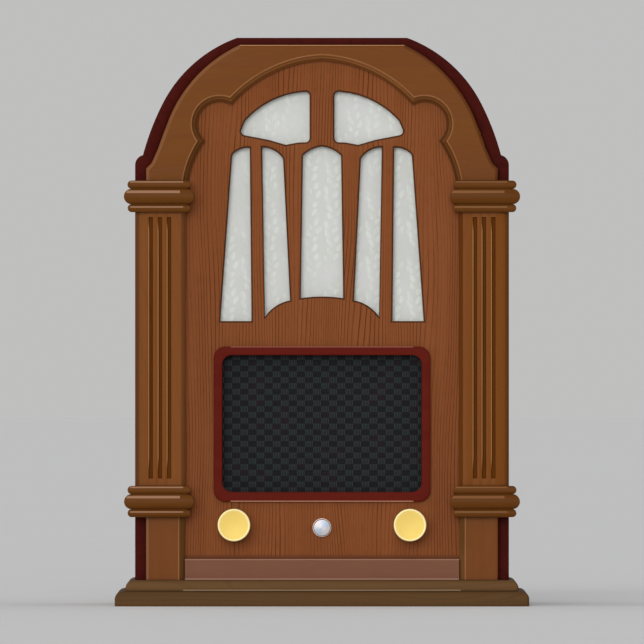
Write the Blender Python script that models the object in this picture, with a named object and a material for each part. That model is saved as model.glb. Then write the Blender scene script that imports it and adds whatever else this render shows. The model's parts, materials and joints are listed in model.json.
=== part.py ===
"""Wooden tombstone radio: arched cabinet, fretted front, two loudspeakers and a valve chassis.

Metres, +Z up. The front looks along -Y, and the origin is under the middle of the lower plinth.
"""

import math

import bmesh
import bpy

GAP = 0.0003                 # left between pieces that touch

# ------------------------------------------------------------------ cabinet, overall
WIDTH = 0.400
DEPTH = 0.280
HEIGHT = 0.549
FACE = -0.106                # plane of the front panel and of the shell's front edge
SHELL_BACK = 0.134
SHELL_SIDE = 0.1806          # half width
WALL = 0.012

# ------------------------------------------------------------------ plinths
LOWER_PLINTH_TOP = 0.0145
UPPER_PLINTH_TOP = 0.0251
PLINTH_ROUND = 0.0077
PLINTH_STEP = 0.0103         # the upper plinth is this much in from the lower one
FLOOR = UPPER_PLINTH_TOP + GAP

# ------------------------------------------------------------------ arch of the shell
CROWN_CENTRE = (0.0374, 0.4261)
CROWN_RADIUS = 0.1308
HAUNCH_RADIUS = 0.2526
HAUNCH_ANGLE = math.radians(27)      # where the crown turns into the flatter haunch
SHOULDER_CENTRE = (0.1706, 0.4260)
SHOULDER_RADIUS = 0.0100

# ------------------------------------------------------------------ arch moulding
MOULDING_TOP = 0.542
MOULDING_SIDE = 0.1699
MOULDING_FOOT = 0.4113
MOULDING_DEPTH = 0.0090
COVE = 0.0055                # width of the cove between the moulding's face and the panel
HOOD_CENTRE = (0.0232, 0.4200)
HOOD_RADIUS = 0.1344
HOOD_SWEEP_RADIUS = 0.3976
HOOD_SWEEP_ANGLE = math.radians(19)
HOOD_FLARE = (0.1652, 0.4273)        # where the sweep turns out at 45 degrees
HOOD_CORNER = (MOULDING_SIDE, 0.4226)
VAULT_CENTRE = (-0.0063, 0.4029)
VAULT_RADIUS = 0.1297
LOBE_CENTRE = (0.0989, 0.4659)
LOBE_RADIUS = 0.0271
LEG_CENTRE = (0.0377, 0.3963)
LEG_RADIUS = 0.0980

# ------------------------------------------------------------------ pilasters
PILASTER_OUTER = 0.1805
PILASTER_INNER = 0.1324
SHAFT_DEPTH = 0.0140
SHAFT_BEVEL = 0.0038
SHAFT_LOW = 0.1164
SHAFT_HIGH = 0.3802
FLUTES = (0.1654, 0.1564, 0.1477)
FLUTE_WIDTH = 0.0043
FLUTE_LOW = 0.1233
FLUTE_HIGH = 0.3758
CAPITAL_OUTER = 0.1838       # the quirks between the rolls
CAPITAL_INNER = 0.1308
CAPITAL_DEPTH = 0.0165
UPPER_ROLLS = (0.3805, 0.3881, 0.4030, 0.4110)
LOWER_ROLLS = (0.0860, 0.0937, 0.1082, 0.1161)
PEDESTAL_OUTER = 0.1699
PEDESTAL_INNER = 0.1329
PEDESTAL_DEPTH = 0.0110
PEDESTAL_BEVEL = 0.0050
RAIL_TOP = 0.0454
RAIL_DEPTH = 0.0080

# ------------------------------------------------------------------ front panel and grilles
PANEL_THICK = 0.008
CLOTH_THICK = 0.0006
BAFFLE_THICK = 0.010
UPPER_CLOTH = (0.106, 0.2600, 0.5040)      # half width, lower edge, upper edge
LOWER_CLOTH = (0.106, 0.1030, 0.2520)
WINDOW = (0.0963, 0.1101, 0.2423)
WINDOW_RADIUS = 0.0092
FRAME_OUTER = (0.1047, 0.1009, 0.2507)
FRAME_OUTER_RADIUS = 0.0113
FRAME_DEPTH = 0.0050
BAFFLE = (0.112, 0.0980, 0.5050)

# ------------------------------------------------------------------ fretwork, right-hand openings
LOBE_CORNERS = ((0.0116, 0.4478, 0.0045), (0.0229, 0.4475, 0.0), (0.0350, 0.4452, 0.0),
                (0.0514, 0.4500, 0.0), (0.0805, 0.4556, 0.0045))     # x, z, rounding
LOBE_BACK = ((0.0112, 0.4124), (0.0193, 0.4970), (0.0765, 0.4668))   # arc: centre, start, end
LOBE_PEAK = (0.0116, 0.4981, 0.0045)
OUTER_FINGER_TOP = ((0.0713, 0.4219), (0.0694, 0.4432), (0.0865, 0.4368))
OUTER_FINGER_SIDE = ((0.0865, 0.4368), (0.0873, 0.4345), (0.0987, 0.2749))
OUTER_FINGER_FOOT = (0.0677, 0.2749)
MIDDLE_FINGER_TOP = ((0.0577, 0.4194), (0.0372, 0.4323), (0.0582, 0.4436))
MIDDLE_FINGER_FOOT = ((0.0241, 0.2584), (0.0553, 0.2785), (0.0305, 0.2949))
CENTRE_FINGER_TOP = ((-0.0041, 0.4118), (0.0, 0.4445), (0.0188, 0.4355))
CENTRE_FINGER_FOOT = ((0.0, 0.1650), (0.0209, 0.2970), (-0.0209, 0.2970))

# ------------------------------------------------------------------ controls
KNOB_X = 0.085
KNOB_Z = 0.0783
KNOB_RADIUS = 0.01575
KNOB_BACK = -0.1072
KNOB_FRONT = -0.1280
SHAFT_RADIUS = 0.003
BUTTON_Z = 0.0757
BEZEL_RADIUS = 0.0090
BUTTON_RADIUS = 0.0078
BUTTON_FRONT = -0.1130
BUTTON_BACK = -0.1000

# ------------------------------------------------------------------ chassis
CHASSIS_HALF = 0.135
CHASSIS_FRONT = -0.070
CHASSIS_REAR = 0.130
CHASSIS_TOP = 0.100
STEEL = 0.0015
DECK = CHASSIS_TOP + GAP     # what stands on the chassis starts here
CAN_RADIUS = 0.0175
CAN_HEIGHT = 0.080
CAN_PLACES = ((-0.040, 0.030), (-0.040, 0.085))
SOCKET_HEIGHT = 0.0095
LEAD_PLACE = (-0.095, 0.060)                 # where the mains lead leaves the chassis
TERMINAL_STRIP = ((0.030, 0.050), (0.090, 0.072))
TERMINALS = (0.045, 0.075)
TRANSFORMER_CORE = ((-0.126, 0.020), (-0.066, 0.084), 0.046)    # corners and height
TRANSFORMER_BELL = ((-0.118, 0.010), (-0.074, 0.094), 0.062)
BELL_FOOT = 0.008
VALVE_PLACES = ((0.004, 0.075), (0.044, 0.040), (0.084, 0.080), (0.118, 0.036))

# ------------------------------------------------------------------ tuning drive
GANG_X = 0.100
GANG_Z = 0.145
GANG_PLATES = 5
GANG_PITCH = 0.009
PLATE_THICK = 0.0015
ROTOR_RADIUS = 0.024
DRIVE_Y = -0.080             # plane of the drive cord
GROOVE_RADIUS = 0.005
DRUM_RADIUS = 0.030
CORD_RADIUS = 0.0006

# ------------------------------------------------------------------ loudspeakers
BAFFLE_BACK = FACE + PANEL_THICK + CLOTH_THICK + BAFFLE_THICK + 3 * GAP
MAIN_SPEAKER = (0.375, 0.100)        # height of the centre, radius of the basket
SECOND_SPEAKER = (0.176, 0.064)
SPEAKER_STEPS = 20

# ------------------------------------------------------------------ rear cover
COVER_THICK = 0.003
COVER_INSET = 0.002
COVER_WINDOW = (0.122, 0.0330, 0.0940)
VENT_ROWS = ((0.150, 9), (0.250, 9), (0.400, 7))     # lower edge of each row, slots in it
VENT_PITCH = 0.024
VENT_WIDTH = 0.006
VENT_LENGTH = 0.070
SCREW_PLACES = ((0.1746, 0.070), (0.1746, 0.270), (0.060, 0.543))
SCREW_RADIUS = 0.0013
SCREW_HOLE = 0.0021
PILOT_RADIUS = 0.0016
PILOT_DEPTH = 0.012


# ------------------------------------------------------------------ materials
def material(name, colour, roughness, metallic=0.0):
    """A Principled BSDF material."""
    made = bpy.data.materials.new(name)
    made.use_nodes = True
    shader = made.node_tree.nodes["Principled BSDF"]
    shader.inputs["Base Color"].default_value = (*colour, 1.0)
    shader.inputs["Roughness"].default_value = roughness
    shader.inputs["Metallic"].default_value = metallic
    return made


def make_materials():
    """Every finish of the set, by name."""
    return {
        "maroon": material("maroon_lacquer", (0.050, 0.007, 0.006), 0.35),
        "walnut": material("walnut_moulding", (0.171, 0.060, 0.017), 0.45),
        "panel": material("panel_veneer", (0.206, 0.067, 0.025), 0.50),
        "rail": material("rail_veneer", (0.190, 0.080, 0.048), 0.50),
        "plinth": material("plinth_wood", (0.110, 0.050, 0.022), 0.50),
        "red": material("red_frame", (0.107, 0.010, 0.009), 0.35),
        "damask": material("damask_cloth", (0.590, 0.604, 0.558), 0.90),
        "weave": material("black_weave", (0.015, 0.016, 0.018), 0.90),
        "ply": material("plain_ply", (0.480, 0.330, 0.190), 0.80),
        "hardboard": material("hardboard", (0.150, 0.085, 0.045), 0.85),
        "steel": material("plated_steel", (0.450, 0.450, 0.440), 0.40, 1.0),
        "brass": material("brass", (0.910, 0.660, 0.175), 0.30, 1.0),
        "silver": material("satin_metal", (0.600, 0.630, 0.670), 0.30, 1.0),
        "aluminium": material("aluminium", (0.700, 0.700, 0.690), 0.35, 1.0),
        "iron": material("black_iron", (0.030, 0.030, 0.032), 0.50, 0.6),
        "cone": material("cone_paper", (0.035, 0.032, 0.030), 0.95),
        "bakelite": material("bakelite", (0.040, 0.018, 0.010), 0.35),
        "glass": material("valve_glass", (0.250, 0.270, 0.260), 0.08),
        "rubber": material("rubber", (0.015, 0.015, 0.015), 0.85),
        "cord": material("drive_cord", (0.350, 0.300, 0.200), 0.80),
    }


# ------------------------------------------------------------------ plane geometry
def arc(centre, start, end, steps):
    """Points of a circle from start towards end, the short way, without the end itself."""
    radius = math.dist(centre, start)
    first = math.atan2(start[1] - centre[1], start[0] - centre[0])
    last = math.atan2(end[1] - centre[1], end[0] - centre[0])
    turn = math.remainder(last - first, math.tau)
    angles = [first + turn * step / steps for step in range(steps)]
    return [(centre[0] + radius * math.cos(a), centre[1] + radius * math.sin(a)) for a in angles]


def on_circle(centre, radius, angle):
    """The point of a circle at an angle."""
    return (centre[0] + radius * math.cos(angle), centre[1] + radius * math.sin(angle))


def at_height(centre, radius, height):
    """The right-hand point of a circle at a height."""
    return (centre[0] + math.sqrt(radius ** 2 - (height - centre[1]) ** 2), height)


def at_width(centre, radius, width):
    """The upper point of a circle at a width."""
    return (width, centre[1] + math.sqrt(radius ** 2 - (width - centre[0]) ** 2))


def meet(first, first_radius, second, second_radius, side):
    """Where two circles cross, left (side 1) or right (side -1) of the way from first to second."""
    apart = math.dist(first, second)
    along = (apart ** 2 + first_radius ** 2 - second_radius ** 2) / (2 * apart)
    off = side * math.sqrt(first_radius ** 2 - along ** 2)
    ux = (second[0] - first[0]) / apart
    uz = (second[1] - first[1]) / apart
    return (first[0] + along * ux - off * uz, first[1] + along * uz + off * ux)


def filleted(corners, steps=4):
    """A closed outline from (x, z, radius) corners, each rounded by its radius."""
    path = []
    for index, (x, z, radius) in enumerate(corners):
        if radius == 0:
            path.append((x, z))
            continue
        before = corners[index - 1]
        after = corners[(index + 1) % len(corners)]
        back = math.atan2(before[1] - z, before[0] - x)
        ahead = math.atan2(after[1] - z, after[0] - x)
        half = math.remainder(ahead - back, math.tau) / 2
        reach = radius / math.tan(abs(half))
        start = (x + reach * math.cos(back), z + reach * math.sin(back))
        end = (x + reach * math.cos(ahead), z + reach * math.sin(ahead))
        out = radius / math.sin(abs(half))
        centre = (x + out * math.cos(back + half), z + out * math.sin(back + half))
        path += arc(centre, start, end, steps) + [end]
    return path


def rounded_rectangle(half, low, high, radius):
    """A rectangle about the centre line with rounded corners."""
    return filleted([(half, low, radius), (half, high, radius),
                     (-half, high, radius), (-half, low, radius)])


def circle(x, z, radius, steps):
    """A closed round outline."""
    return [on_circle((x, z), radius, math.tau * step / steps) for step in range(steps)]


def mirrored(path):
    """A path from the centre line down the right, closed by its mirror image on the left."""
    left = [(-x, z) for x, z in reversed(path) if x > 1e-6]
    return path + left


def flipped(path):
    """The mirror image of a closed outline."""
    return [(-x, z) for x, z in reversed(path)]


# ------------------------------------------------------------------ solids
def add_object(name, bm, finish, place=(0.0, 0.0, 0.0)):
    """Close the mesh into a named object with its origin at place, which the mesh is built about."""
    bmesh.ops.recalc_face_normals(bm, faces=bm.faces[:])
    mesh = bpy.data.meshes.new(name)
    bm.to_mesh(mesh)
    bm.free()
    mesh.shade_smooth()
    mesh.set_sharp_from_angle(angle=math.radians(30))
    mesh.materials.append(finish)
    made = bpy.data.objects.new(name, mesh)
    made.location = place
    bpy.context.scene.collection.objects.link(made)
    return made


def board(name, layers, finish):
    """A board standing across Y. Each layer is its Y and its outlines: the rim, then any holes."""
    bm = bmesh.new()
    rows = []
    for y, loops in layers:
        rows.append([[bm.verts.new((x, y, z)) for x, z in loop] for loop in loops])
    for row in (rows[0], rows[-1]):
        edges = []
        for loop in row:
            edges += [bm.edges.new(pair) for pair in zip(loop, loop[1:] + loop[:1])]
        bmesh.ops.triangle_fill(bm, use_beauty=True, edges=edges)
    for front, back in zip(rows, rows[1:]):
        for near, far in zip(front, back):
            for index in range(len(near)):
                bm.faces.new((near[index - 1], near[index], far[index], far[index - 1]))
    return add_object(name, bm, finish)


def plate(name, front, back, loops, finish):
    """A board of one outline from front to back."""
    return board(name, [(front, loops), (back, loops)], finish)


def stacked(name, rings, finish):
    """A solid from rings of points, one above another, closed at both ends."""
    bm = bmesh.new()
    rows = [[bm.verts.new(point) for point in ring] for ring in rings]
    for low, high in zip(rows, rows[1:]):
        for index in range(len(low)):
            bm.faces.new((low[index - 1], low[index], high[index], high[index - 1]))
    bm.faces.new(rows[0])
    bm.faces.new(rows[-1])
    return add_object(name, bm, finish)


def turned(name, profile, place, axis, finish, steps=24):
    """A turned solid from (along, radius) pairs, from axis to axis or, if clear of it, a ring."""
    bm = bmesh.new()
    rows = []
    for along, radius in profile:
        if radius == 0:
            rows.append([bm.verts.new(spun(along, 0, 0, axis))] * steps)
        else:
            rows.append([bm.verts.new(spun(along, radius, math.tau * step / steps, axis))
                         for step in range(steps)])
    pairs = list(zip(rows, rows[1:]))
    if profile[0][1] > 0:
        pairs.append((rows[-1], rows[0]))
    for near, far in pairs:
        for index in range(steps):
            corners = [near[index - 1], near[index], far[index], far[index - 1]]
            bm.faces.new(list(dict.fromkeys(corners)))
    return add_object(name, bm, finish, place)


def spun(along, radius, angle, axis):
    """A point at a distance along the axis, a radius off it and an angle round it."""
    if axis == "Y":
        return (radius * math.cos(angle), along, radius * math.sin(angle))
    return (radius * math.cos(angle), radius * math.sin(angle), along)


def block(name, low, high, finish, bevel=0.0):
    """A rectangular block between two corners, with bevelled edges."""
    bm = bmesh.new()
    bmesh.ops.create_cube(bm, size=1.0)
    for vert in bm.verts:
        vert.co = [low[i] + (vert.co[i] + 0.5) * (high[i] - low[i]) for i in range(3)]
    if bevel:
        bmesh.ops.bevel(bm, geom=bm.edges[:], offset=bevel, segments=1, affect="EDGES")
    return add_object(name, bm, finish)


def cutter(made):
    """Turn an object into a cutter, which isn't part of the set."""
    made.hide_render = True
    made.display_type = "WIRE"
    return made


def combine(target, other, operation):
    """Cut target with other, or join other to it."""
    step = target.modifiers.new(other.name, "BOOLEAN")
    step.operation = operation
    step.object = cutter(other)


# ------------------------------------------------------------------ cabinet outlines
def cabinet_half(inset, foot):
    """Right half of the cabinet's outline from the crown down, set in by a distance."""
    side = SHELL_SIDE - inset
    crown_radius = CROWN_RADIUS - inset
    haunch_radius = HAUNCH_RADIUS - inset
    shoulder_radius = SHOULDER_RADIUS - inset
    offset = haunch_radius - crown_radius
    haunch = on_circle(CROWN_CENTRE, -offset, HAUNCH_ANGLE)
    top = at_height(CROWN_CENTRE, crown_radius, HEIGHT - inset)
    turn = on_circle(CROWN_CENTRE, crown_radius, HAUNCH_ANGLE)
    path = arc(CROWN_CENTRE, top, turn, 10)
    if shoulder_radius > 0:
        corner = meet(haunch, haunch_radius, SHOULDER_CENTRE, shoulder_radius, 1)
        path += arc(haunch, turn, corner, 4)
        path += arc(SHOULDER_CENTRE, corner, (side, SHOULDER_CENTRE[1]), 3)
        path += [(side, SHOULDER_CENTRE[1])]
    else:
        end = at_width(haunch, haunch_radius, side)
        path += arc(haunch, turn, end, 6) + [end]
    return path + [(side, foot)]


def moulding_outer_half():
    """Right half of the arch moulding's outer edge, from its flat top down to its foot."""
    top = at_height(HOOD_CENTRE, HOOD_RADIUS, MOULDING_TOP)
    turn = on_circle(HOOD_CENTRE, HOOD_RADIUS, HOOD_SWEEP_ANGLE)
    sweep = on_circle(HOOD_CENTRE, HOOD_RADIUS + HOOD_SWEEP_RADIUS, HOOD_SWEEP_ANGLE)
    path = arc(HOOD_CENTRE, top, turn, 10)
    path += arc(sweep, turn, HOOD_FLARE, 5)
    return path + [HOOD_FLARE, HOOD_CORNER, (MOULDING_SIDE, MOULDING_FOOT)]


def moulding_inner_half(inset):
    """Right half of the moulding's cusped inner edge, set towards the opening by inset."""
    vault = VAULT_RADIUS - inset
    lobe = LOBE_RADIUS - inset
    leg = LEG_RADIUS - inset
    middle = (0.0, VAULT_CENTRE[1] + math.sqrt(vault ** 2 - VAULT_CENTRE[0] ** 2))
    upper_cusp = meet(VAULT_CENTRE, vault, LOBE_CENTRE, lobe, 1)
    lower_cusp = meet(LOBE_CENTRE, lobe, LEG_CENTRE, leg, 1)
    foot = at_height(LEG_CENTRE, leg, MOULDING_FOOT)
    path = arc(VAULT_CENTRE, middle, upper_cusp, 10)
    path += arc(LOBE_CENTRE, upper_cusp, (LOBE_CENTRE[0] + lobe, LOBE_CENTRE[1]), 6)
    path += arc(LOBE_CENTRE, (LOBE_CENTRE[0] + lobe, LOBE_CENTRE[1]), lower_cusp, 3)
    path += arc(LEG_CENTRE, lower_cusp, foot, 4)
    return path + [foot]


def moulding_outline(inset):
    """The whole moulding: down the outside on the right, and back over the inner edge."""
    outer = moulding_outer_half()
    inner = moulding_inner_half(inset)
    left = [(-x, z) for x, z in reversed(outer)]
    return outer + list(reversed(inner)) + [(-x, z) for x, z in inner[1:]] + left


def lobe_opening():
    """The right-hand upper opening of the fretwork."""
    back = [(x, z, 0.0) for x, z in reversed(arc(*LOBE_BACK, 8))]
    return filleted(list(LOBE_CORNERS) + back + [LOBE_PEAK])


def outer_finger():
    """The right-hand outer slot of the fretwork."""
    return [OUTER_FINGER_FOOT] + arc(*OUTER_FINGER_TOP, 5) + list(OUTER_FINGER_SIDE)


def middle_finger():
    """The right-hand inner slot of the fretwork."""
    path = []
    for curve in (MIDDLE_FINGER_TOP, MIDDLE_FINGER_FOOT):
        path += arc(*curve, 5) + [curve[2]]
    return path


def centre_finger():
    """The slot on the centre line."""
    right = arc(*CENTRE_FINGER_TOP, 4) + [CENTRE_FINGER_TOP[2]]
    left = [(-x, z) for x, z in reversed(right) if x > 1e-6]
    return right + arc(*CENTRE_FINGER_FOOT, 4) + [CENTRE_FINGER_FOOT[2]] + left


def control_holes():
    """Holes of the front panel for the two spindles and the button."""
    spindle = 0.0042
    return [circle(-KNOB_X, KNOB_Z, spindle, 12), circle(KNOB_X, KNOB_Z, spindle, 12),
            circle(0.0, BUTTON_Z, BEZEL_RADIUS - 0.0007, 16)]


# ------------------------------------------------------------------ cabinet
def plinth(name, inset, low, high, finish):
    """A board with its front and side edges rounded over, flush at the back."""
    half = WIDTH / 2 - inset
    front = -DEPTH / 2 + inset
    back = DEPTH / 2
    steps = 5
    levels = [(0.0, low)]
    for step in range(steps + 1):
        angle = math.pi / 2 * step / steps
        levels.append((PLINTH_ROUND * (1 - math.cos(angle)),
                       high - PLINTH_ROUND * (1 - math.sin(angle))))
    rings = []
    for cut, z in levels:
        rings.append([(-half + cut, front + cut, z), (half - cut, front + cut, z),
                      (half - cut, back, z), (-half + cut, back, z)])
    stacked(name, rings, finish)


def build_cabinet(finish):
    """Plinths, bent shell and fretted front panel."""
    plinth("plinth_lower", 0.0, 0.0, LOWER_PLINTH_TOP, finish["plinth"])
    plinth("plinth_upper", PLINTH_STEP, LOWER_PLINTH_TOP + GAP, UPPER_PLINTH_TOP,
           finish["plinth"])
    outside = cabinet_half(0.0, FLOOR)
    inside = cabinet_half(WALL, FLOOR)
    left = [(-x, z) for x, z in reversed(outside)]
    rim = outside + list(reversed(inside)) + [(-x, z) for x, z in inside] + left
    shell = plate("cabinet_shell", FACE, SHELL_BACK, [rim], finish["maroon"])
    drill = [(-PILOT_DEPTH, 0), (-PILOT_DEPTH, PILOT_RADIUS), (0.001, PILOT_RADIUS), (0.001, 0)]
    for index, (x, z) in enumerate(screw_places()):
        pilot = turned(f"pilot_{index}", drill, (x, SHELL_BACK, z), "Y", finish["steel"], 8)
        combine(shell, pilot, "DIFFERENCE")
    board_rim = mirrored(cabinet_half(WALL + GAP, FLOOR))
    slots = [lobe_opening(), outer_finger(), middle_finger()]
    holes = slots + [flipped(slot) for slot in slots] + [centre_finger()]
    holes += [rounded_rectangle(*WINDOW, WINDOW_RADIUS)] + control_holes()
    plate("front_panel", FACE, FACE + PANEL_THICK, [board_rim] + holes, finish["panel"])


def build_mouldings(finish):
    """The cusped arch, the kick rail and the red frame, planted on the front."""
    back = FACE - GAP
    arch_face = FACE - MOULDING_DEPTH
    board("arch_moulding", [(arch_face, [moulding_outline(0.0)]),
                            (FACE - 0.0030, [moulding_outline(COVE)]),
                            (back, [moulding_outline(COVE)])], finish["walnut"])
    rail_face = FACE - RAIL_DEPTH
    block("kick_rail", (-PILASTER_INNER, rail_face, FLOOR), (PILASTER_INNER, back, RAIL_TOP),
          finish["rail"], 0.0015)
    edge = 0.0015
    half, low, high = FRAME_OUTER
    wide = [rounded_rectangle(half, low, high, FRAME_OUTER_RADIUS),
            rounded_rectangle(*WINDOW, WINDOW_RADIUS)]
    narrow = [rounded_rectangle(half - edge, low + edge, high - edge, FRAME_OUTER_RADIUS - edge),
              rounded_rectangle(WINDOW[0] + edge, WINDOW[1] - edge, WINDOW[2] + edge,
                                WINDOW_RADIUS + edge)]
    board("speaker_frame", [(FACE - FRAME_DEPTH, narrow), (FACE - FRAME_DEPTH + edge, wide),
                            (back, wide)], finish["red"])


def shaft_outline(side):
    """Cross-section of a pilaster shaft in the XY plane."""
    face = FACE - SHAFT_DEPTH
    edge = 0.0015
    points = [(PILASTER_INNER, FACE - GAP), (PILASTER_INNER, face + SHAFT_BEVEL * 1.5),
              (PILASTER_INNER + SHAFT_BEVEL, face), (PILASTER_OUTER - edge, face),
              (PILASTER_OUTER, face + edge), (PILASTER_OUTER, FACE - GAP)]
    return [(side * x, y) for x, y in points]


def build_shaft(name, side, finish):
    """A pilaster shaft with three flutes that stop square."""
    outline = shaft_outline(side)
    shaft = stacked(name, [[(x, y, z) for x, y in outline] for z in (SHAFT_LOW, SHAFT_HIGH)],
                    finish)
    radius = FLUTE_WIDTH / 2
    profile = [(FLUTE_LOW, 0), (FLUTE_LOW, radius), (FLUTE_HIGH, radius), (FLUTE_HIGH, 0)]
    for index, x in enumerate(FLUTES):
        place = (side * x, FACE - SHAFT_DEPTH, 0.0)
        combine(shaft, turned(f"{name}_flute_{index}", profile, place, "Z", finish, 12),
                "DIFFERENCE")


def build_capital(name, side, levels, finish):
    """Three half-round rolls, small, large and small, returned at both ends."""
    front = FACE - CAPITAL_DEPTH
    steps = 6
    rings = []
    for low, high in zip(levels, levels[1:]):
        radius = (high - low) / 2
        for step in range(steps + 1):
            if step == 0 and rings:
                continue
            angle = math.pi * step / steps
            swell = radius * math.sin(angle)
            z = low + radius * (1 - math.cos(angle))
            rings.append([(side * (CAPITAL_INNER - swell), FACE - GAP, z),
                          (side * (CAPITAL_INNER - swell), front - swell, z),
                          (side * (CAPITAL_OUTER + swell), front - swell, z),
                          (side * (CAPITAL_OUTER + swell), FACE - GAP, z)])
    stacked(name, rings, finish)


def build_pedestal(name, side, finish):
    """The plain block under a pilaster, bevelled on its inner edge."""
    face = FACE - PEDESTAL_DEPTH
    outline = [(PEDESTAL_INNER, FACE - GAP), (PEDESTAL_INNER, face + PEDESTAL_BEVEL),
               (PEDESTAL_INNER + PEDESTAL_BEVEL, face), (PEDESTAL_OUTER, face),
               (PEDESTAL_OUTER, FACE - GAP)]
    heights = (FLOOR, LOWER_ROLLS[0] - GAP)
    stacked(name, [[(side * x, y, z) for x, y in outline] for z in heights], finish)


def build_pilasters(finish):
    """Shaft, capital, base and pedestal on each side."""
    for word, side in (("left", -1), ("right", 1)):
        build_shaft(f"pilaster_shaft_{word}", side, finish["walnut"])
        build_capital(f"pilaster_capital_{word}", side, UPPER_ROLLS, finish["walnut"])
        build_capital(f"pilaster_base_{word}", side, LOWER_ROLLS, finish["walnut"])
        build_pedestal(f"pedestal_{word}", side, finish["walnut"])


def build_grilles(finish):
    """The two cloths and the baffle behind them."""
    front = FACE + PANEL_THICK + GAP
    for name, size, cloth in (("upper_grille_cloth", UPPER_CLOTH, finish["damask"]),
                              ("lower_grille_cloth", LOWER_CLOTH, finish["weave"])):
        half, low, high = size
        block(name, (-half, front, low), (half, front + CLOTH_THICK, high), cloth)
    half, low, high = BAFFLE
    rim = [(half, low), (half, high), (-half, high), (-half, low)]
    holes = [circle(0.0, centre, 0.86 * radius, 24)
             for centre, radius in (MAIN_SPEAKER, SECOND_SPEAKER)]
    baffle_front = front + CLOTH_THICK + GAP
    plate("speaker_baffle", baffle_front, baffle_front + BAFFLE_THICK, [rim] + holes,
          finish["ply"])


def screw_places():
    """Centres of the rear cover's screws."""
    return [(side * x, z) for x, z in SCREW_PLACES for side in (-1, 1)]


def build_rear(finish):
    """Vented cover over the back, with its six screws."""
    front = SHELL_BACK + GAP
    rim = mirrored(cabinet_half(COVER_INSET, FLOOR + COVER_INSET))
    holes = [circle(x, z, SCREW_HOLE, 8) for x, z in screw_places()]
    half, low, high = COVER_WINDOW
    holes.append(rounded_rectangle(half, low, high, 0.004))
    for row, count in VENT_ROWS:
        for index in range(count):
            x = VENT_PITCH * (index - (count - 1) / 2)
            left = x - VENT_WIDTH / 2
            right = x + VENT_WIDTH / 2
            top = row + VENT_LENGTH
            holes.append([(left, row), (right, row), (right, top), (left, top)])
    plate("rear_cover", front, front + COVER_THICK, [rim] + holes, finish["hardboard"])
    under_head = front + COVER_THICK + GAP
    profile = [(-0.0100, 0), (-0.0085, SCREW_RADIUS), (0.0, SCREW_RADIUS), (0.0, 0.0036),
               (0.0012, 0.0030), (0.0020, 0.0016), (0.0020, 0)]
    for index, (x, z) in enumerate(screw_places()):
        turned(f"rear_cover_screw_{index + 1}", profile, (x, under_head, z), "Y",
               finish["steel"], 12)


# ------------------------------------------------------------------ chassis
def build_chassis(finish):
    """A folded steel pan, open underneath, with its spindle holes and cable hole."""
    pan = block("chassis", (-CHASSIS_HALF, CHASSIS_FRONT, FLOOR),
                (CHASSIS_HALF, CHASSIS_REAR, CHASSIS_TOP), finish["steel"])
    hollow = block("chassis_hollow", (-CHASSIS_HALF + STEEL, CHASSIS_FRONT + STEEL, 0.0),
                   (CHASSIS_HALF - STEEL, CHASSIS_REAR - STEEL, CHASSIS_TOP - STEEL),
                   finish["steel"])
    combine(pan, hollow, "DIFFERENCE")
    drills = [(-KNOB_X, KNOB_Z, CHASSIS_FRONT, 0.0049), (KNOB_X, KNOB_Z, CHASSIS_FRONT, 0.0049),
              (0.0, BUTTON_Z, CHASSIS_FRONT, 0.0042), (*LEAD_PLACE, CHASSIS_REAR, 0.0060)]
    for index, (x, z, y, radius) in enumerate(drills):
        drill = turned(f"chassis_drill_{index}", [(-0.01, 0), (-0.01, radius), (0.01, radius),
                                                  (0.01, 0)], (x, y, z), "Y",
                       finish["steel"], 16)
        combine(pan, drill, "DIFFERENCE")


def build_power_parts(finish):
    """Mains transformer and smoothing capacitor cans on the chassis deck."""
    low, high, height = TRANSFORMER_CORE
    core = block("mains_transformer", (*low, DECK), (*high, DECK + height), finish["iron"],
                 0.0020)
    low, high, height = TRANSFORMER_BELL
    bell = block("transformer_bell", (*low, DECK + BELL_FOOT), (*high, DECK + height),
                 finish["iron"], 0.0060)
    combine(core, bell, "UNION")
    rim = 0.0012
    profile = [(0.0, 0), (0.0, CAN_RADIUS), (0.004, CAN_RADIUS), (0.005, CAN_RADIUS - rim),
               (CAN_HEIGHT - 0.003, CAN_RADIUS - rim), (CAN_HEIGHT, CAN_RADIUS - 0.004),
               (CAN_HEIGHT, 0)]
    for index, (x, y) in enumerate(CAN_PLACES):
        turned(f"smoothing_capacitor_{index + 1}", profile, (x, y, DECK), "Z",
               finish["aluminium"], 20)


def build_valves(finish):
    """Four valves in their sockets."""
    socket = [(0.0, 0), (0.0, 0.0210), (0.0030, 0.0210), (0.0030, 0.0185),
              (SOCKET_HEIGHT, 0.0185), (SOCKET_HEIGHT, 0)]
    stand = DECK + SOCKET_HEIGHT + GAP
    valve = [(0.0, 0), (0.0, 0.0165), (0.026, 0.0165), (0.028, 0.0150), (0.040, 0.0185),
             (0.052, 0.0222), (0.062, 0.0222), (0.074, 0.0180), (0.082, 0.0135),
             (0.096, 0.0125), (0.102, 0.0095), (0.105, 0.0040), (0.106, 0)]
    for index, (x, y) in enumerate(VALVE_PLACES):
        turned(f"valve_socket_{index + 1}", socket, (x, y, DECK), "Z", finish["bakelite"], 12)
        turned(f"valve_{index + 1}", valve, (x, y, stand), "Z", finish["glass"], 12)


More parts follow.
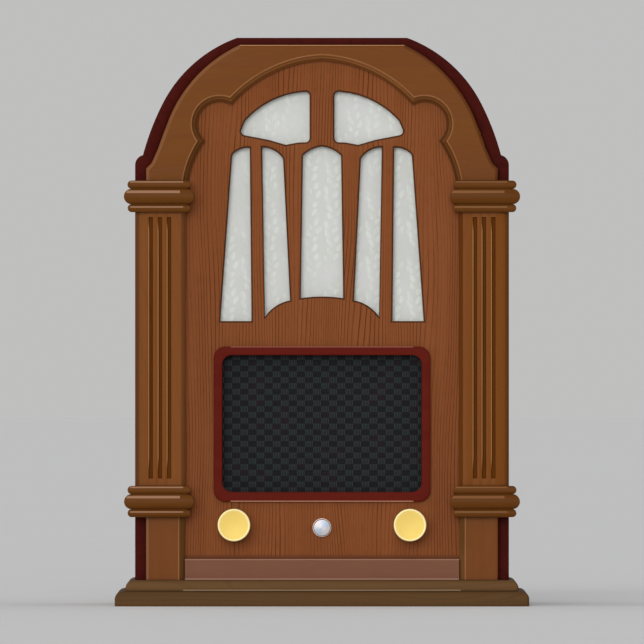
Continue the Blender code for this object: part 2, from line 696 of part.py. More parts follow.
def build_rear_sockets(finish):
    """Aerial and earth terminals, and the grommet of the mains lead."""
    rear = CHASSIS_REAR + GAP
    (left, low), (right, high) = TERMINAL_STRIP
    strip = block("terminal_strip", (left, rear, low), (right, rear + 0.002, high),
                  finish["bakelite"], 0.0004)
    nut = [(0.001, 0), (0.001, 0.0040), (0.0065, 0.0040), (0.0075, 0.0030), (0.0075, 0)]
    for index, x in enumerate(TERMINALS):
        post = turned(f"terminal_{index}", nut, (x, rear, (low + high) / 2), "Y",
                      finish["brass"], 12)
        combine(strip, post, "UNION")
    profile = [(-0.0035, 0.0035), (-0.0035, 0.0080), (-STEEL - 2 * GAP, 0.0085),
               (-STEEL - 2 * GAP, 0.0056), (0.0, 0.0056), (0.0, 0.0090), (0.0025, 0.0075),
               (0.0025, 0.0035)]
    x, z = LEAD_PLACE
    turned("mains_grommet", profile, (x, rear, z), "Y", finish["rubber"], 16)


# ------------------------------------------------------------------ controls and tuning drive
def knob(name, x, finish):
    """A gold knob: parallel sides, rounded rim, dished face and a blind bore for its shaft."""
    length = KNOB_BACK - KNOB_FRONT
    bore = SHAFT_RADIUS + GAP
    deep = 0.012
    profile = [(-deep, 0), (-deep, bore), (0.0, bore), (0.0, KNOB_RADIUS - 0.0010),
               (-0.0010, KNOB_RADIUS), (-length + 0.0016, KNOB_RADIUS),
               (-length + 0.0004, KNOB_RADIUS - 0.0005), (-length, KNOB_RADIUS - 0.0014),
               (-length + 0.0006, KNOB_RADIUS - 0.0022), (-length + 0.0006, 0)]
    turned(name, profile, (x, KNOB_BACK, KNOB_Z), "Y", finish["brass"], 24)


def rod(name, x, z, steps_along, finish):
    """A turned rod from (y, radius) steps."""
    turned(name, [(y, radius) for y, radius in steps_along], (x, 0.0, z), "Y", finish, 16)


def bush(name, x, z, flange, body, tail, finish):
    """A flanged bush through the chassis front: flange and body radii, and the body's length."""
    y = CHASSIS_FRONT
    bore = SHAFT_RADIUS + GAP
    profile = [(y - 0.0022, bore), (y - 0.0022, flange), (y - GAP, flange), (y - GAP, body),
               (tail, body), (tail, bore)]
    turned(name, profile, (x, 0.0, z), "Y", finish, 16)


def build_controls(finish):
    """Knobs, spindles, volume control, and the power button with its bezel and switch."""
    shaft_front = KNOB_BACK - 0.0115
    knob("tuning_knob", KNOB_X, finish)
    knob("volume_knob", -KNOB_X, finish)
    flange = GROOVE_RADIUS + 0.0018
    rod("tuning_spindle", KNOB_X, KNOB_Z,
        [(shaft_front, 0), (shaft_front, SHAFT_RADIUS), (DRIVE_Y - 0.0030, SHAFT_RADIUS),
         (DRIVE_Y - 0.0030, flange), (DRIVE_Y - 0.0020, flange),
         (DRIVE_Y - 0.0020, GROOVE_RADIUS), (DRIVE_Y + 0.0020, GROOVE_RADIUS),
         (DRIVE_Y + 0.0020, flange), (DRIVE_Y + 0.0030, flange),
         (DRIVE_Y + 0.0030, SHAFT_RADIUS), (-0.060, SHAFT_RADIUS), (-0.060, 0)],
        finish["steel"])
    bush("tuning_bush", KNOB_X, KNOB_Z, 0.0080, 0.0046, -0.063, finish["brass"])
    rod("volume_shaft", -KNOB_X, KNOB_Z, [(shaft_front, 0), (shaft_front, SHAFT_RADIUS),
                                          (-0.0600, SHAFT_RADIUS), (-0.0600, 0)],
        finish["steel"])
    inside = CHASSIS_FRONT + STEEL + GAP
    bore = SHAFT_RADIUS + GAP
    turned("volume_control",
           [(-0.0780, bore), (-0.0780, 0.0046), (inside, 0.0046), (inside, 0.0140),
            (-0.0510, 0.0140), (-0.0500, 0.0130), (-0.0500, bore)],
           (-KNOB_X, 0.0, KNOB_Z), "Y", finish["iron"], 20)
    bezel = [(FACE - GAP, BEZEL_RADIUS - 0.0008), (FACE - GAP, BEZEL_RADIUS),
             (FACE - 0.0022, BEZEL_RADIUS), (FACE - 0.0030, BEZEL_RADIUS - 0.0004),
             (FACE - 0.0030, BEZEL_RADIUS - 0.0008)]
    turned("button_bezel", bezel, (0.0, 0.0, BUTTON_Z), "Y", finish["silver"], 24)
    rod_radius = 0.0028
    button = [(BUTTON_FRONT, 0), (BUTTON_FRONT, BUTTON_RADIUS - 0.0010),
              (BUTTON_FRONT + 0.0008, BUTTON_RADIUS), (BUTTON_BACK, BUTTON_RADIUS),
              (BUTTON_BACK, rod_radius), (-0.0620, rod_radius), (-0.0620, 0)]
    turned("power_button", button, (0.0, 0.0, BUTTON_Z), "Y", finish["silver"], 24)
    switch = block("power_switch", (-0.012, inside, BUTTON_Z - 0.010),
                   (0.012, -0.044, BUTTON_Z + 0.010), finish["bakelite"], 0.0010)
    well = turned("switch_well", [(-0.080, 0), (-0.080, 0.0034), (-0.0560, 0.0034),
                                  (-0.0560, 0)], (0.0, 0.0, BUTTON_Z), "Y",
                  finish["steel"], 16)
    combine(switch, well, "DIFFERENCE")


def half_disc(name, x, y, z, radius, thick, middle, finish):
    """Half a disc across Y, its round side towards the angle middle."""
    start = middle - math.pi / 2
    points = [(x + radius * math.cos(start + math.pi * step / 10),
               z + radius * math.sin(start + math.pi * step / 10)) for step in range(11)]
    return plate(name, y - thick / 2, y + thick / 2, [points], finish)


def build_gang(finish):
    """Tuning capacitor: a frame with fixed plates, and a rotor of half discs on its shaft."""
    front = -0.064
    back = -0.014
    half = 0.030
    base = block("tuning_capacitor_frame", (GANG_X - half, front, DECK),
                 (GANG_X + half, back, DECK + 0.003), finish["aluminium"])
    bearing = SHAFT_RADIUS + GAP
    for word, y in (("front", front), ("back", back)):
        low = y if word == "front" else y - 0.002
        foot = DECK + 0.001
        edge = half - 0.0005
        rim = [(GANG_X - edge, foot), (GANG_X + edge, foot), (GANG_X + 0.020, GANG_Z + 0.012),
               (GANG_X - edge, GANG_Z + 0.012)]
        end = plate(f"gang_end_{word}", low, low + 0.002,
                    [rim, circle(GANG_X, GANG_Z, bearing, 16)], finish["aluminium"])
        combine(base, end, "UNION")
    rail = block("gang_rail", (GANG_X - half, front + 0.001, GANG_Z - 0.004),
                 (GANG_X - half + 0.003, back - 0.001, GANG_Z + 0.004), finish["aluminium"])
    combine(base, rail, "UNION")
    middle = (front + back) / 2
    first = middle - GANG_PITCH * (GANG_PLATES - 1) / 2
    rotor = turned("tuning_capacitor_rotor",
                   [(-0.0735, 0), (-0.0735, SHAFT_RADIUS), (back + 0.004, SHAFT_RADIUS),
                    (back + 0.004, 0)],
                   (GANG_X, 0.0, GANG_Z), "Y", finish["aluminium"], 16)
    for index in range(GANG_PLATES):
        y = first + GANG_PITCH * index
        vane = half_disc(f"rotor_plate_{index}", GANG_X, y, GANG_Z, ROTOR_RADIUS, PLATE_THICK,
                         math.pi / 2, finish["aluminium"])
        combine(rotor, vane, "UNION")
        if index < GANG_PLATES - 1:
            x = GANG_X - half + 0.002
            z = GANG_Z
            reach = 0.022
            fixed = plate(f"fixed_plate_{index}", y + GANG_PITCH / 2 - PLATE_THICK / 2,
                          y + GANG_PITCH / 2 + PLATE_THICK / 2,
                          [[(x, z - 0.003), (x + 0.006, z - reach * 0.8),
                            (x + reach, z - reach), (x + reach, z + reach * 0.5),
                            (x + 0.006, z + reach * 0.5), (x, z + 0.003)]],
                          finish["aluminium"])
            combine(base, fixed, "UNION")


def build_drum(finish):
    """Grooved drum on the front end of the rotor's shaft."""
    rim = DRUM_RADIUS + 0.0018
    hub = SHAFT_RADIUS + GAP
    profile = [(DRIVE_Y - 0.0030, 0), (DRIVE_Y - 0.0030, rim), (DRIVE_Y - 0.0020, rim),
               (DRIVE_Y - 0.0020, DRUM_RADIUS), (DRIVE_Y + 0.0020, DRUM_RADIUS),
               (DRIVE_Y + 0.0020, rim), (DRIVE_Y + 0.0030, rim), (DRIVE_Y + 0.0030, 0.0070),
               (DRIVE_Y + 0.0090, 0.0070), (DRIVE_Y + 0.0090, hub), (DRIVE_Y + 0.0010, hub),
               (DRIVE_Y + 0.0010, 0)]
    turned("drive_drum", profile, (GANG_X, 0.0, GANG_Z), "Y", finish["brass"], 24)


def build_drive_cord(finish):
    """Endless cord round the spindle's groove and the drum."""
    small = GROOVE_RADIUS + CORD_RADIUS + GAP
    large = DRUM_RADIUS + CORD_RADIUS + GAP
    dx = GANG_X - KNOB_X
    dz = GANG_Z - KNOB_Z
    apart = math.hypot(dx, dz)
    line = math.atan2(dz, dx)
    lean = math.acos((small - large) / apart)
    path = []
    for x, z, radius, start, sweep, steps in (
            (KNOB_X, KNOB_Z, small, line + lean, 2 * math.pi - 2 * lean, 8),
            (GANG_X, GANG_Z, large, line - lean, 2 * lean, 20)):
        for step in range(steps + 1):
            angle = start + sweep * step / steps
            path.append((x + radius * math.cos(angle), z + radius * math.sin(angle)))
    bm = bmesh.new()
    sides = 6
    rows = []
    for index, (x, z) in enumerate(path):
        ahead = path[(index + 1) % len(path)]
        behind = path[index - 1]
        along = math.atan2(ahead[1] - behind[1], ahead[0] - behind[0])
        row = []
        for side in range(sides):
            turn = math.tau * side / sides
            out = CORD_RADIUS * math.cos(turn)
            row.append(bm.verts.new((x - out * math.sin(along),
                                     DRIVE_Y + CORD_RADIUS * math.sin(turn),
                                     z + out * math.cos(along))))
        rows.append(row)
    for index, row in enumerate(rows):
        last = rows[index - 1]
        for side in range(sides):
            bm.faces.new((last[side - 1], last[side], row[side], row[side - 1]))
    add_object("drive_cord", bm, finish["cord"])


# ------------------------------------------------------------------ loudspeakers
def build_speaker(name, height, radius, finish):
    """Basket, moving cone and magnet of one loudspeaker, from the baffle backwards."""
    place = (0.0, BAFFLE_BACK + GAP, height)
    coil = 0.14 * radius
    depth = 0.46 * radius
    sheet = 0.0015
    floor = depth + 0.003
    basket = [(0.0, radius), (0.003, radius), (0.003, 0.93 * radius), (depth, 0.42 * radius),
              (floor, 0.42 * radius), (floor, coil + 0.0020), (floor - sheet, coil + 0.0020),
              (floor - sheet, 0.39 * radius), (sheet, 0.90 * radius), (0.0, 0.90 * radius)]
    turned(f"{name}_basket", basket, place, "Y", finish["iron"], SPEAKER_STEPS)
    lip = 0.0028
    former = depth + 0.014
    paper = 0.0008
    cone = [(depth - 0.0170, 0), (depth - 0.0150, 0.6 * coil), (depth - 0.0115, coil),
            (lip, 0.815 * radius), (lip + 0.001, 0.820 * radius), (depth - 0.0060, coil + paper),
            (former, coil + paper), (former, coil - paper / 2), (depth - 0.0100, coil - paper / 2),
            (depth - 0.0140, 0.6 * coil), (depth - 0.0160, 0)]
    turned(f"{name}_cone", cone, place, "Y", finish["cone"], SPEAKER_STEPS)
    front = floor + GAP
    rear = front + 0.40 * radius
    edge = 0.44 * radius
    pole = coil - 0.0030
    gap_floor = front + 0.018
    magnet = [(front - 0.004, 0), (front - 0.004, pole), (gap_floor, pole),
              (gap_floor, coil + 0.0024), (front, coil + 0.0024), (front, edge),
              (rear - 0.002, edge), (rear, edge - 0.002), (rear, 0)]
    turned(f"{name}_magnet", magnet, place, "Y", finish["iron"], SPEAKER_STEPS)


def clear_scene():
    """Remove whatever the file starts with."""
    for made in list(bpy.data.objects):
        bpy.data.objects.remove(made, do_unlink=True)


def main():
    """Build the whole set."""
    clear_scene()
    finish = make_materials()
    build_cabinet(finish)
    build_mouldings(finish)
    build_pilasters(finish)
    build_grilles(finish)
    build_rear(finish)
    build_chassis(finish)
    build_power_parts(finish)
    build_valves(finish)
    build_rear_sockets(finish)
    build_controls(finish)
    build_gang(finish)
    build_drum(finish)
    build_drive_cord(finish)
    for name, (height, radius) in (("main_speaker", MAIN_SPEAKER),
                                   ("second_speaker", SECOND_SPEAKER)):
        build_speaker(name, height, radius, finish)


main()
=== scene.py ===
"""Looks of the wooden tombstone radio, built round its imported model.

Metres, +Z up. The front looks along -Y. Outlines are (x, z) points and cross-sections (x, y).
"""

import json
import math

import bmesh
import bpy
from mathutils import Matrix, Vector


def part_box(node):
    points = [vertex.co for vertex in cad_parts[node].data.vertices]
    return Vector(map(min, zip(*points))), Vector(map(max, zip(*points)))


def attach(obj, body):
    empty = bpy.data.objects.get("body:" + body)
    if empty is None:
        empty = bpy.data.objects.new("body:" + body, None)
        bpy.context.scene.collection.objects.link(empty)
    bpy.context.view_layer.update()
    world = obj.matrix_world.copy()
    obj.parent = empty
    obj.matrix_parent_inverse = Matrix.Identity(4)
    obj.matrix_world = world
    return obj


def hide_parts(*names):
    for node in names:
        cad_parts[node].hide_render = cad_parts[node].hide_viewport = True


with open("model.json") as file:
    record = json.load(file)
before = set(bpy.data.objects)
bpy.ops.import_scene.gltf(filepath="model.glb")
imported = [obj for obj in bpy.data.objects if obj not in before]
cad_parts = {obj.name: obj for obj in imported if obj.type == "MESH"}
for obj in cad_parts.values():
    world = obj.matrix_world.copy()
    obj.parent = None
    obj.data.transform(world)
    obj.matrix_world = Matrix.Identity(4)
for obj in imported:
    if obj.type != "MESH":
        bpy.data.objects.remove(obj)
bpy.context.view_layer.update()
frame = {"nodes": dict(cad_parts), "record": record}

RECORD = frame["record"]
BODY_OF = {node: body for body, nodes in RECORD["behaviour"]["bodies"].items() for node in nodes}
LOW = {node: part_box(node)[0] for node in frame["nodes"]}
HIGH = {node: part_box(node)[1] for node in frame["nodes"]}
MIDDLE = {node: Vector([(LOW[node][i] + HIGH[node][i]) / 2 for i in range(3)]) for node in LOW}

# -------------------- places read from the frame
FACE = LOW["front_panel"].y
PANEL_BACK = HIGH["front_panel"].y
SHELL_BACK = HIGH["cabinet_shell"].y
FLOOR = LOW["cabinet_shell"].z
HEIGHT = HIGH["cabinet_shell"].z
SHELL_SIDE = HIGH["cabinet_shell"].x
PLANTED = HIGH["arch_moulding"].y            # back of what is planted on the panel
KNOB_X = MIDDLE["tuning_knob"].x
KNOB_Z = MIDDLE["tuning_knob"].z
BUTTON_Z = MIDDLE["power_button"].z

# -------------------- arch of the shell
WALL = 0.012
GAP = 0.0003                                 # between the shell and the panel
CROWN_CENTRE = (0.0374, 0.4261)
CROWN_RADIUS = 0.1308
HAUNCH_RADIUS = 0.2526
HAUNCH_ANGLE = math.radians(27)              # where the crown turns into the flatter haunch
SHOULDER_CENTRE = (0.1706, 0.4260)
SHOULDER_RADIUS = 0.0100

# -------------------- arch moulding
MOULDING_TOP = HIGH["arch_moulding"].z
MOULDING_SIDE = HIGH["arch_moulding"].x
MOULDING_FOOT = LOW["arch_moulding"].z
COVE = 0.0055                                # width of the cove on the moulding's inner edge
COVE_RADIUS = 0.0049
HOOD_CENTRE = (0.0232, 0.4200)
HOOD_RADIUS = 0.1344
HOOD_SWEEP_RADIUS = 0.3976
HOOD_SWEEP_ANGLE = math.radians(19)
HOOD_FLARE = (0.1652, 0.4273)                # where the sweep turns out at 45 degrees
HOOD_CORNER = (MOULDING_SIDE, 0.4226)
OUTER_ROUND = 0.0030                         # of the moulding's outer edge
VAULT_CENTRE = (-0.0063, 0.4029)
VAULT_RADIUS = 0.1297
LOBE_CENTRE = (0.0989, 0.4659)
LOBE_RADIUS = 0.0271
LEG_CENTRE = (0.0377, 0.3963)
LEG_RADIUS = 0.0980

# -------------------- fretwork, right-hand openings
LOBE_CORNERS = ((0.0116, 0.4478, 0.0045), (0.0229, 0.4475, 0.0), (0.0350, 0.4452, 0.0),
                (0.0514, 0.4500, 0.0), (0.0805, 0.4556, 0.0045))     # x, z, rounding
LOBE_BACK = ((0.0112, 0.4124), (0.0193, 0.4970), (0.0765, 0.4668))   # arc: centre, start, end
LOBE_PEAK = (0.0116, 0.4981, 0.0045)
OUTER_FINGER_TOP = ((0.0713, 0.4219), (0.0694, 0.4432), (0.0865, 0.4368))
OUTER_FINGER_SIDE = ((0.0865, 0.4368), (0.0873, 0.4345), (0.0987, 0.2749))
OUTER_FINGER_FOOT = (0.0677, 0.2749)
MIDDLE_FINGER_TOP = ((0.0577, 0.4194), (0.0372, 0.4323), (0.0582, 0.4436))
MIDDLE_FINGER_FOOT = ((0.0241, 0.2584), (0.0553, 0.2785), (0.0305, 0.2949))
CENTRE_FINGER_TOP = ((-0.0041, 0.4118), (0.0, 0.4445), (0.0188, 0.4355))
CENTRE_FINGER_FOOT = ((0.0, 0.1650), (0.0209, 0.2970), (-0.0209, 0.2970))

# -------------------- plinths and pilasters
PLINTH_ROUND = 0.0077                        # of a plinth's upper edge
PLINTH_CORNER = 0.0030                       # of its upright edges, sharper towards the top
HIGHLIGHT_REACH = 0.134                               # half length of the painted highlight line on the plinth
FULLNESS = 0.62                              # below 1 the rolls' fronts are flatter than round
# Painted highlight lines on the capitals' rolls, as shares of a roll from its top.
ROLL_HIGHLIGHT = ((0.26, 0.43), (0.11, 0.28), (0.08, 0.25))    # shares of a roll from its top
# Where the painted highlight lines start and end, by their side of the set and the size of their
# roll.
HIGHLIGHT_ENDS = {-1: {"large": (0.1372, 0.1888), "small": (0.1340, 0.1852)},
              1: {"large": (0.1250, 0.1761), "small": (0.1278, 0.1788)}}
CREASE = 0.0022                              # how far the quirks between the rolls are filled
FLUTES = (0.1477, 0.1564, 0.1654)
FLUTE_WIDTH = 0.0043
FLUTE_LOW = 0.1233
FLUTE_HIGH = 0.3758
CAPITAL_OUTER = 0.1838                       # the quirks between the rolls
CAPITAL_INNER = 0.1308
CAPITAL_DEPTH = 0.0165
UPPER_ROLLS = (0.3805, 0.3881, 0.4030, 0.4110)
LOWER_ROLLS = (0.0860, 0.0937, 0.1082, 0.1161)
PEDESTAL_BEVEL = 0.0050
SHAFT_BEVEL = 0.0038

# -------------------- knobs
RIB_COUNT = 48
RIB_DEPTH = 0.00045
RIB_BACK = 0.0044                            # from the knob's back to the ribs
RIB_FRONT = 0.0034                           # from its front

# -------------------- grilles and rear cover
WINDOW = (0.0963, 0.1101, 0.2423)            # half width, lower edge, upper edge
WINDOW_RADIUS = 0.0092
FRAME_RADIUS = 0.0113
CELL_WIDTH = 0.0078                          # cells of the checker weave
CELL_HEIGHT = 0.0056
CELL_COLUMNS = 26
CELL_LEFT = -0.1023
CELL_ROWS = 24
CELL_FOOT = (WINDOW[1] + WINDOW[2]) / 2 - CELL_HEIGHT * CELL_ROWS / 2
UPRIGHT_THREADS = 5                          # in a cell
LEVEL_THREADS = 3
COVER_INSET = 0.002
COVER_WINDOW = (0.122, 0.0330, 0.0940)
VENT_ROWS = ((0.150, 9), (0.250, 9), (0.400, 7))
VENT_PITCH = 0.024
VENT_WIDTH = 0.006
VENT_LENGTH = 0.070


# -------------------- plane geometry
def spread(low, high, count):
    """Evenly spaced numbers from low to high."""
    return [low + (high - low) * step / count for step in range(count + 1)]


def arc(centre, start, end, steps):
    """Points of a circle from start towards end, the short way, without the end itself."""
    radius = math.dist(centre, start)
    first = math.atan2(start[1] - centre[1], start[0] - centre[0])
    last = math.atan2(end[1] - centre[1], end[0] - centre[0])
    turn = math.remainder(last - first, math.tau)
    return [on_circle(centre, radius, angle) for angle in spread(first, first + turn, steps)[:-1]]


def on_circle(centre, radius, angle):
    """The point of a circle at an angle."""
    return (centre[0] + radius * math.cos(angle), centre[1] + radius * math.sin(angle))


def at_height(centre, radius, height):
    """The right-hand point of a circle at a height."""
    return (centre[0] + math.sqrt(radius ** 2 - (height - centre[1]) ** 2), height)


def at_width(centre, radius, width):
    """The upper point of a circle at a width."""
    return (width, centre[1] + math.sqrt(radius ** 2 - (width - centre[0]) ** 2))


def meet(first, first_radius, second, second_radius, side):
    """Where two circles cross, left (side 1) or right (side -1) of the way from first to second."""
    apart = math.dist(first, second)
    along = (apart ** 2 + first_radius ** 2 - second_radius ** 2) / (2 * apart)
    off = side * math.sqrt(first_radius ** 2 - along ** 2)
    ux = (second[0] - first[0]) / apart
    uz = (second[1] - first[1]) / apart
    return (first[0] + along * ux - off * uz, first[1] + along * uz + off * ux)


def filleted(corners, steps=8):
    """A closed outline from (x, z, radius) corners, each rounded by its radius."""
    path = []
    for index, (x, z, radius) in enumerate(corners):
        if radius == 0:
            path.append((x, z))
            continue
        before = corners[index - 1]
        after = corners[(index + 1) % len(corners)]
        back = math.atan2(before[1] - z, before[0] - x)
        ahead = math.atan2(after[1] - z, after[0] - x)
        half = math.remainder(ahead - back, math.tau) / 2
        reach = radius / math.tan(abs(half))
        end = on_circle((x, z), reach, ahead)
        centre = on_circle((x, z), radius / math.sin(abs(half)), back + half)
        path += arc(centre, on_circle((x, z), reach, back), end, steps) + [end]
    return path


def rounded_rectangle(half, low, high, radius, middle=0.0, steps=8):
    """A rectangle about a vertical line with rounded corners."""
    right = middle + half
    left = middle - half
    return filleted([(right, low, radius), (right, high, radius),
                     (left, high, radius), (left, low, radius)], steps)


def circle(x, z, radius, steps=48):
    """A closed round outline."""
    return [on_circle((x, z), radius, angle) for angle in spread(0.0, math.tau, steps)[:-1]]


def mirrored(path):
    """A path from the centre line down the right, closed by its mirror image on the left."""
    return path + [(-x, z) for x, z in reversed(path) if x > 1e-6]


def flipped(path):
    """The mirror image of a path, run the other way."""
    return [(-x, z) for x, z in reversed(path)]


def spaced(loop):
    """A closed outline without points that fall on the one before."""
    return [point for index, point in enumerate(loop) if math.dist(point, loop[index - 1]) > 1e-6]


def inset(loop, distance):
    """A closed outline set in by a distance, or out by a negative one, with mitred corners."""
    pairs = list(zip(loop, loop[1:] + loop[:1]))
    area = sum(a[0] * b[1] - b[0] * a[1] for a, b in pairs)
    turn = math.copysign(1.0, area)
    normals = []
    for a, b in pairs:
        length = math.dist(a, b)
        normals.append((-turn * (b[1] - a[1]) / length, turn * (b[0] - a[0]) / length))
    moved = []
    for index, (x, z) in enumerate(loop):
        before = normals[index - 1]
        after = normals[index]
        reach = distance / max(1 + before[0] * after[0] + before[1] * after[1], 0.4)
        moved.append((x + reach * (before[0] + after[0]), z + reach * (before[1] + after[1])))
    return moved


def quarter_round(radius, steps):
    """Pairs of (set in, set back) from a face round its edge to the side."""
    return [(radius * (1 - math.sin(angle)), radius * (1 - math.cos(angle)))
            for angle in spread(0.0, math.pi / 2, steps)]


# -------------------- meshes
def walls(bm, near, far, slot_of=lambda index: 0):
    """Faces between two rings of vertices, their material slots given point by point."""
    for index in range(len(near)):
        corners = [near[index - 1], near[index], far[index], far[index - 1]]
        face = bm.faces.new(list(dict.fromkeys(corners)))
        face.smooth = True
        face.material_index = slot_of(index)


def board(layers, slot_of=lambda layer, number, index: 0):
    """A board standing across Y. Each layer is its Y and its outlines: the rim, then any holes.

    slot_of gives a wall face's material slot from its layer, its outline and its point.
    """
    bm = bmesh.new()
    rows = []
    for y, loops in layers:
        rows.append([[bm.verts.new((x, y, z)) for x, z in loop] for loop in loops])
    for row in (rows[0], rows[-1]):
        edges = []
        for loop in row:
            edges += [bm.edges.new(pair) for pair in zip(loop, loop[1:] + loop[:1])]
        bmesh.ops.triangle_fill(bm, use_beauty=True, edges=edges)
    for layer, (front, back) in enumerate(zip(rows, rows[1:])):
        for number, (near, far) in enumerate(zip(front, back)):
            walls(bm, near, far, lambda index: slot_of(layer, number, index))
    return bm


def stacked(rings, slot_of=lambda number, index: 0):
    """A solid from rings of points, one above another, closed at both ends.

    slot_of gives a wall face's material slot from its ring and its point.
    """
    bm = bmesh.new()
    rows = [[bm.verts.new(point) for point in ring] for ring in rings]
    for number, (low, high) in enumerate(zip(rows, rows[1:])):
        walls(bm, low, high, lambda index: slot_of(number, index))
    bm.faces.new(rows[0])
    bm.faces.new(rows[-1])
    return bm


def turned(profile, axis, steps, knurl=None):
    """A turned solid from (along, radius) pairs, from axis to axis or, if clear of it, a ring.

    knurl gives how far the radius drops at a place along and an angle.
    """
    bm = bmesh.new()
    rows = []
    for along, radius in profile:
        if radius == 0:
            rows.append([bm.verts.new(spun(along, 0, 0, axis))] * steps)
            continue
        row = []
        for angle in spread(0.0, math.tau, steps)[:-1]:
            drop = knurl(along, angle) if knurl else 0.0
            row.append(bm.verts.new(spun(along, radius - drop, angle, axis)))
        rows.append(row)
    pairs = list(zip(rows, rows[1:]))
    if profile[0][1] > 0:
        pairs.append((rows[-1], rows[0]))
    for near, far in pairs:
        walls(bm, near, far)
    return bm


def spun(along, radius, angle, axis):
    """A point at a distance along the axis, a radius off it and an angle round it."""
    if axis == "Y":
        return (radius * math.cos(angle), along, radius * math.sin(angle))
    return (radius * math.cos(angle), radius * math.sin(angle), along)


def rounded(profile, radius, steps=5):
    """A profile whose inner corners are rounded by up to a radius, its two ends kept."""
    path = [profile[0]]
    for before, here, after in zip(profile, profile[1:], profile[2:]):
        reach = min(radius, math.dist(before, here) / 2.1, math.dist(here, after) / 2.1)
        start = lerp(here, before, reach / math.dist(before, here))
        end = lerp(here, after, reach / math.dist(here, after))
        for share in spread(0.0, 1.0, steps):
            path.append(lerp(lerp(start, here, share), lerp(here, end, share), share))
    return path + [profile[-1]]


def lerp(first, second, share):
    """The point a share of the way from first to second."""
    return tuple(a + (b - a) * share for a, b in zip(first, second))


def block(low, high, bevel):
    """A rectangular block between two corners with bevelled edges."""
    bm = bmesh.new()
    bmesh.ops.create_cube(bm, size=1.0)
    for vert in bm.verts:
        vert.co = [low[i] + (vert.co[i] + 0.5) * (high[i] - low[i]) for i in range(3)]
    bmesh.ops.bevel(bm, geom=bm.edges[:], offset=bevel, segments=1, affect="EDGES", profile=0.5)
    for face in bm.faces:
        face.smooth = face.calc_area() < 4 * bevel * max(h - l for l, h in zip(low, high))
    return bm


def mesh_of(name, bm, finishes, sharp=40):
    """A mesh with its faces pointing out, sharp only at strong edges."""
    bmesh.ops.recalc_face_normals(bm, faces=bm.faces[:])
    mesh = bpy.data.meshes.new(name)
    bm.to_mesh(mesh)
    bm.free()
    mesh.set_sharp_from_angle(angle=math.radians(sharp))
    for key in finishes:
        mesh.materials.append(FINISH[key])
    return mesh


def added(name, data, place=(0.0, 0.0, 0.0)):
    """An object put into the scene."""
    made = bpy.data.objects.new(name, data)
    made.location = place
    bpy.context.scene.collection.objects.link(made)
    return made


def piece(name, node, bm, finishes, sharp=40, place=(0.0, 0.0, 0.0)):
    """A solid put where it belongs, for a CAD node whose body it takes and which it hides."""
    made = added(name, mesh_of(name, bm, finishes, sharp), place)
    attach(made, BODY_OF[node])
    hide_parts(node)
    return made


def cut(target, bm):
    """Cut a solid out of a piece for good."""
    tool = added("cutter", mesh_of("cutter", bm, []))
    step = target.modifiers.new("cut", "BOOLEAN")
    step.operation = "DIFFERENCE"
    step.object = tool
    bpy.context.view_layer.update()
    made = bpy.data.meshes.new_from_object(target.evaluated_get(
        bpy.context.evaluated_depsgraph_get()))
    target.modifiers.remove(step)
    target.data = made
    bpy.data.objects.remove(tool)
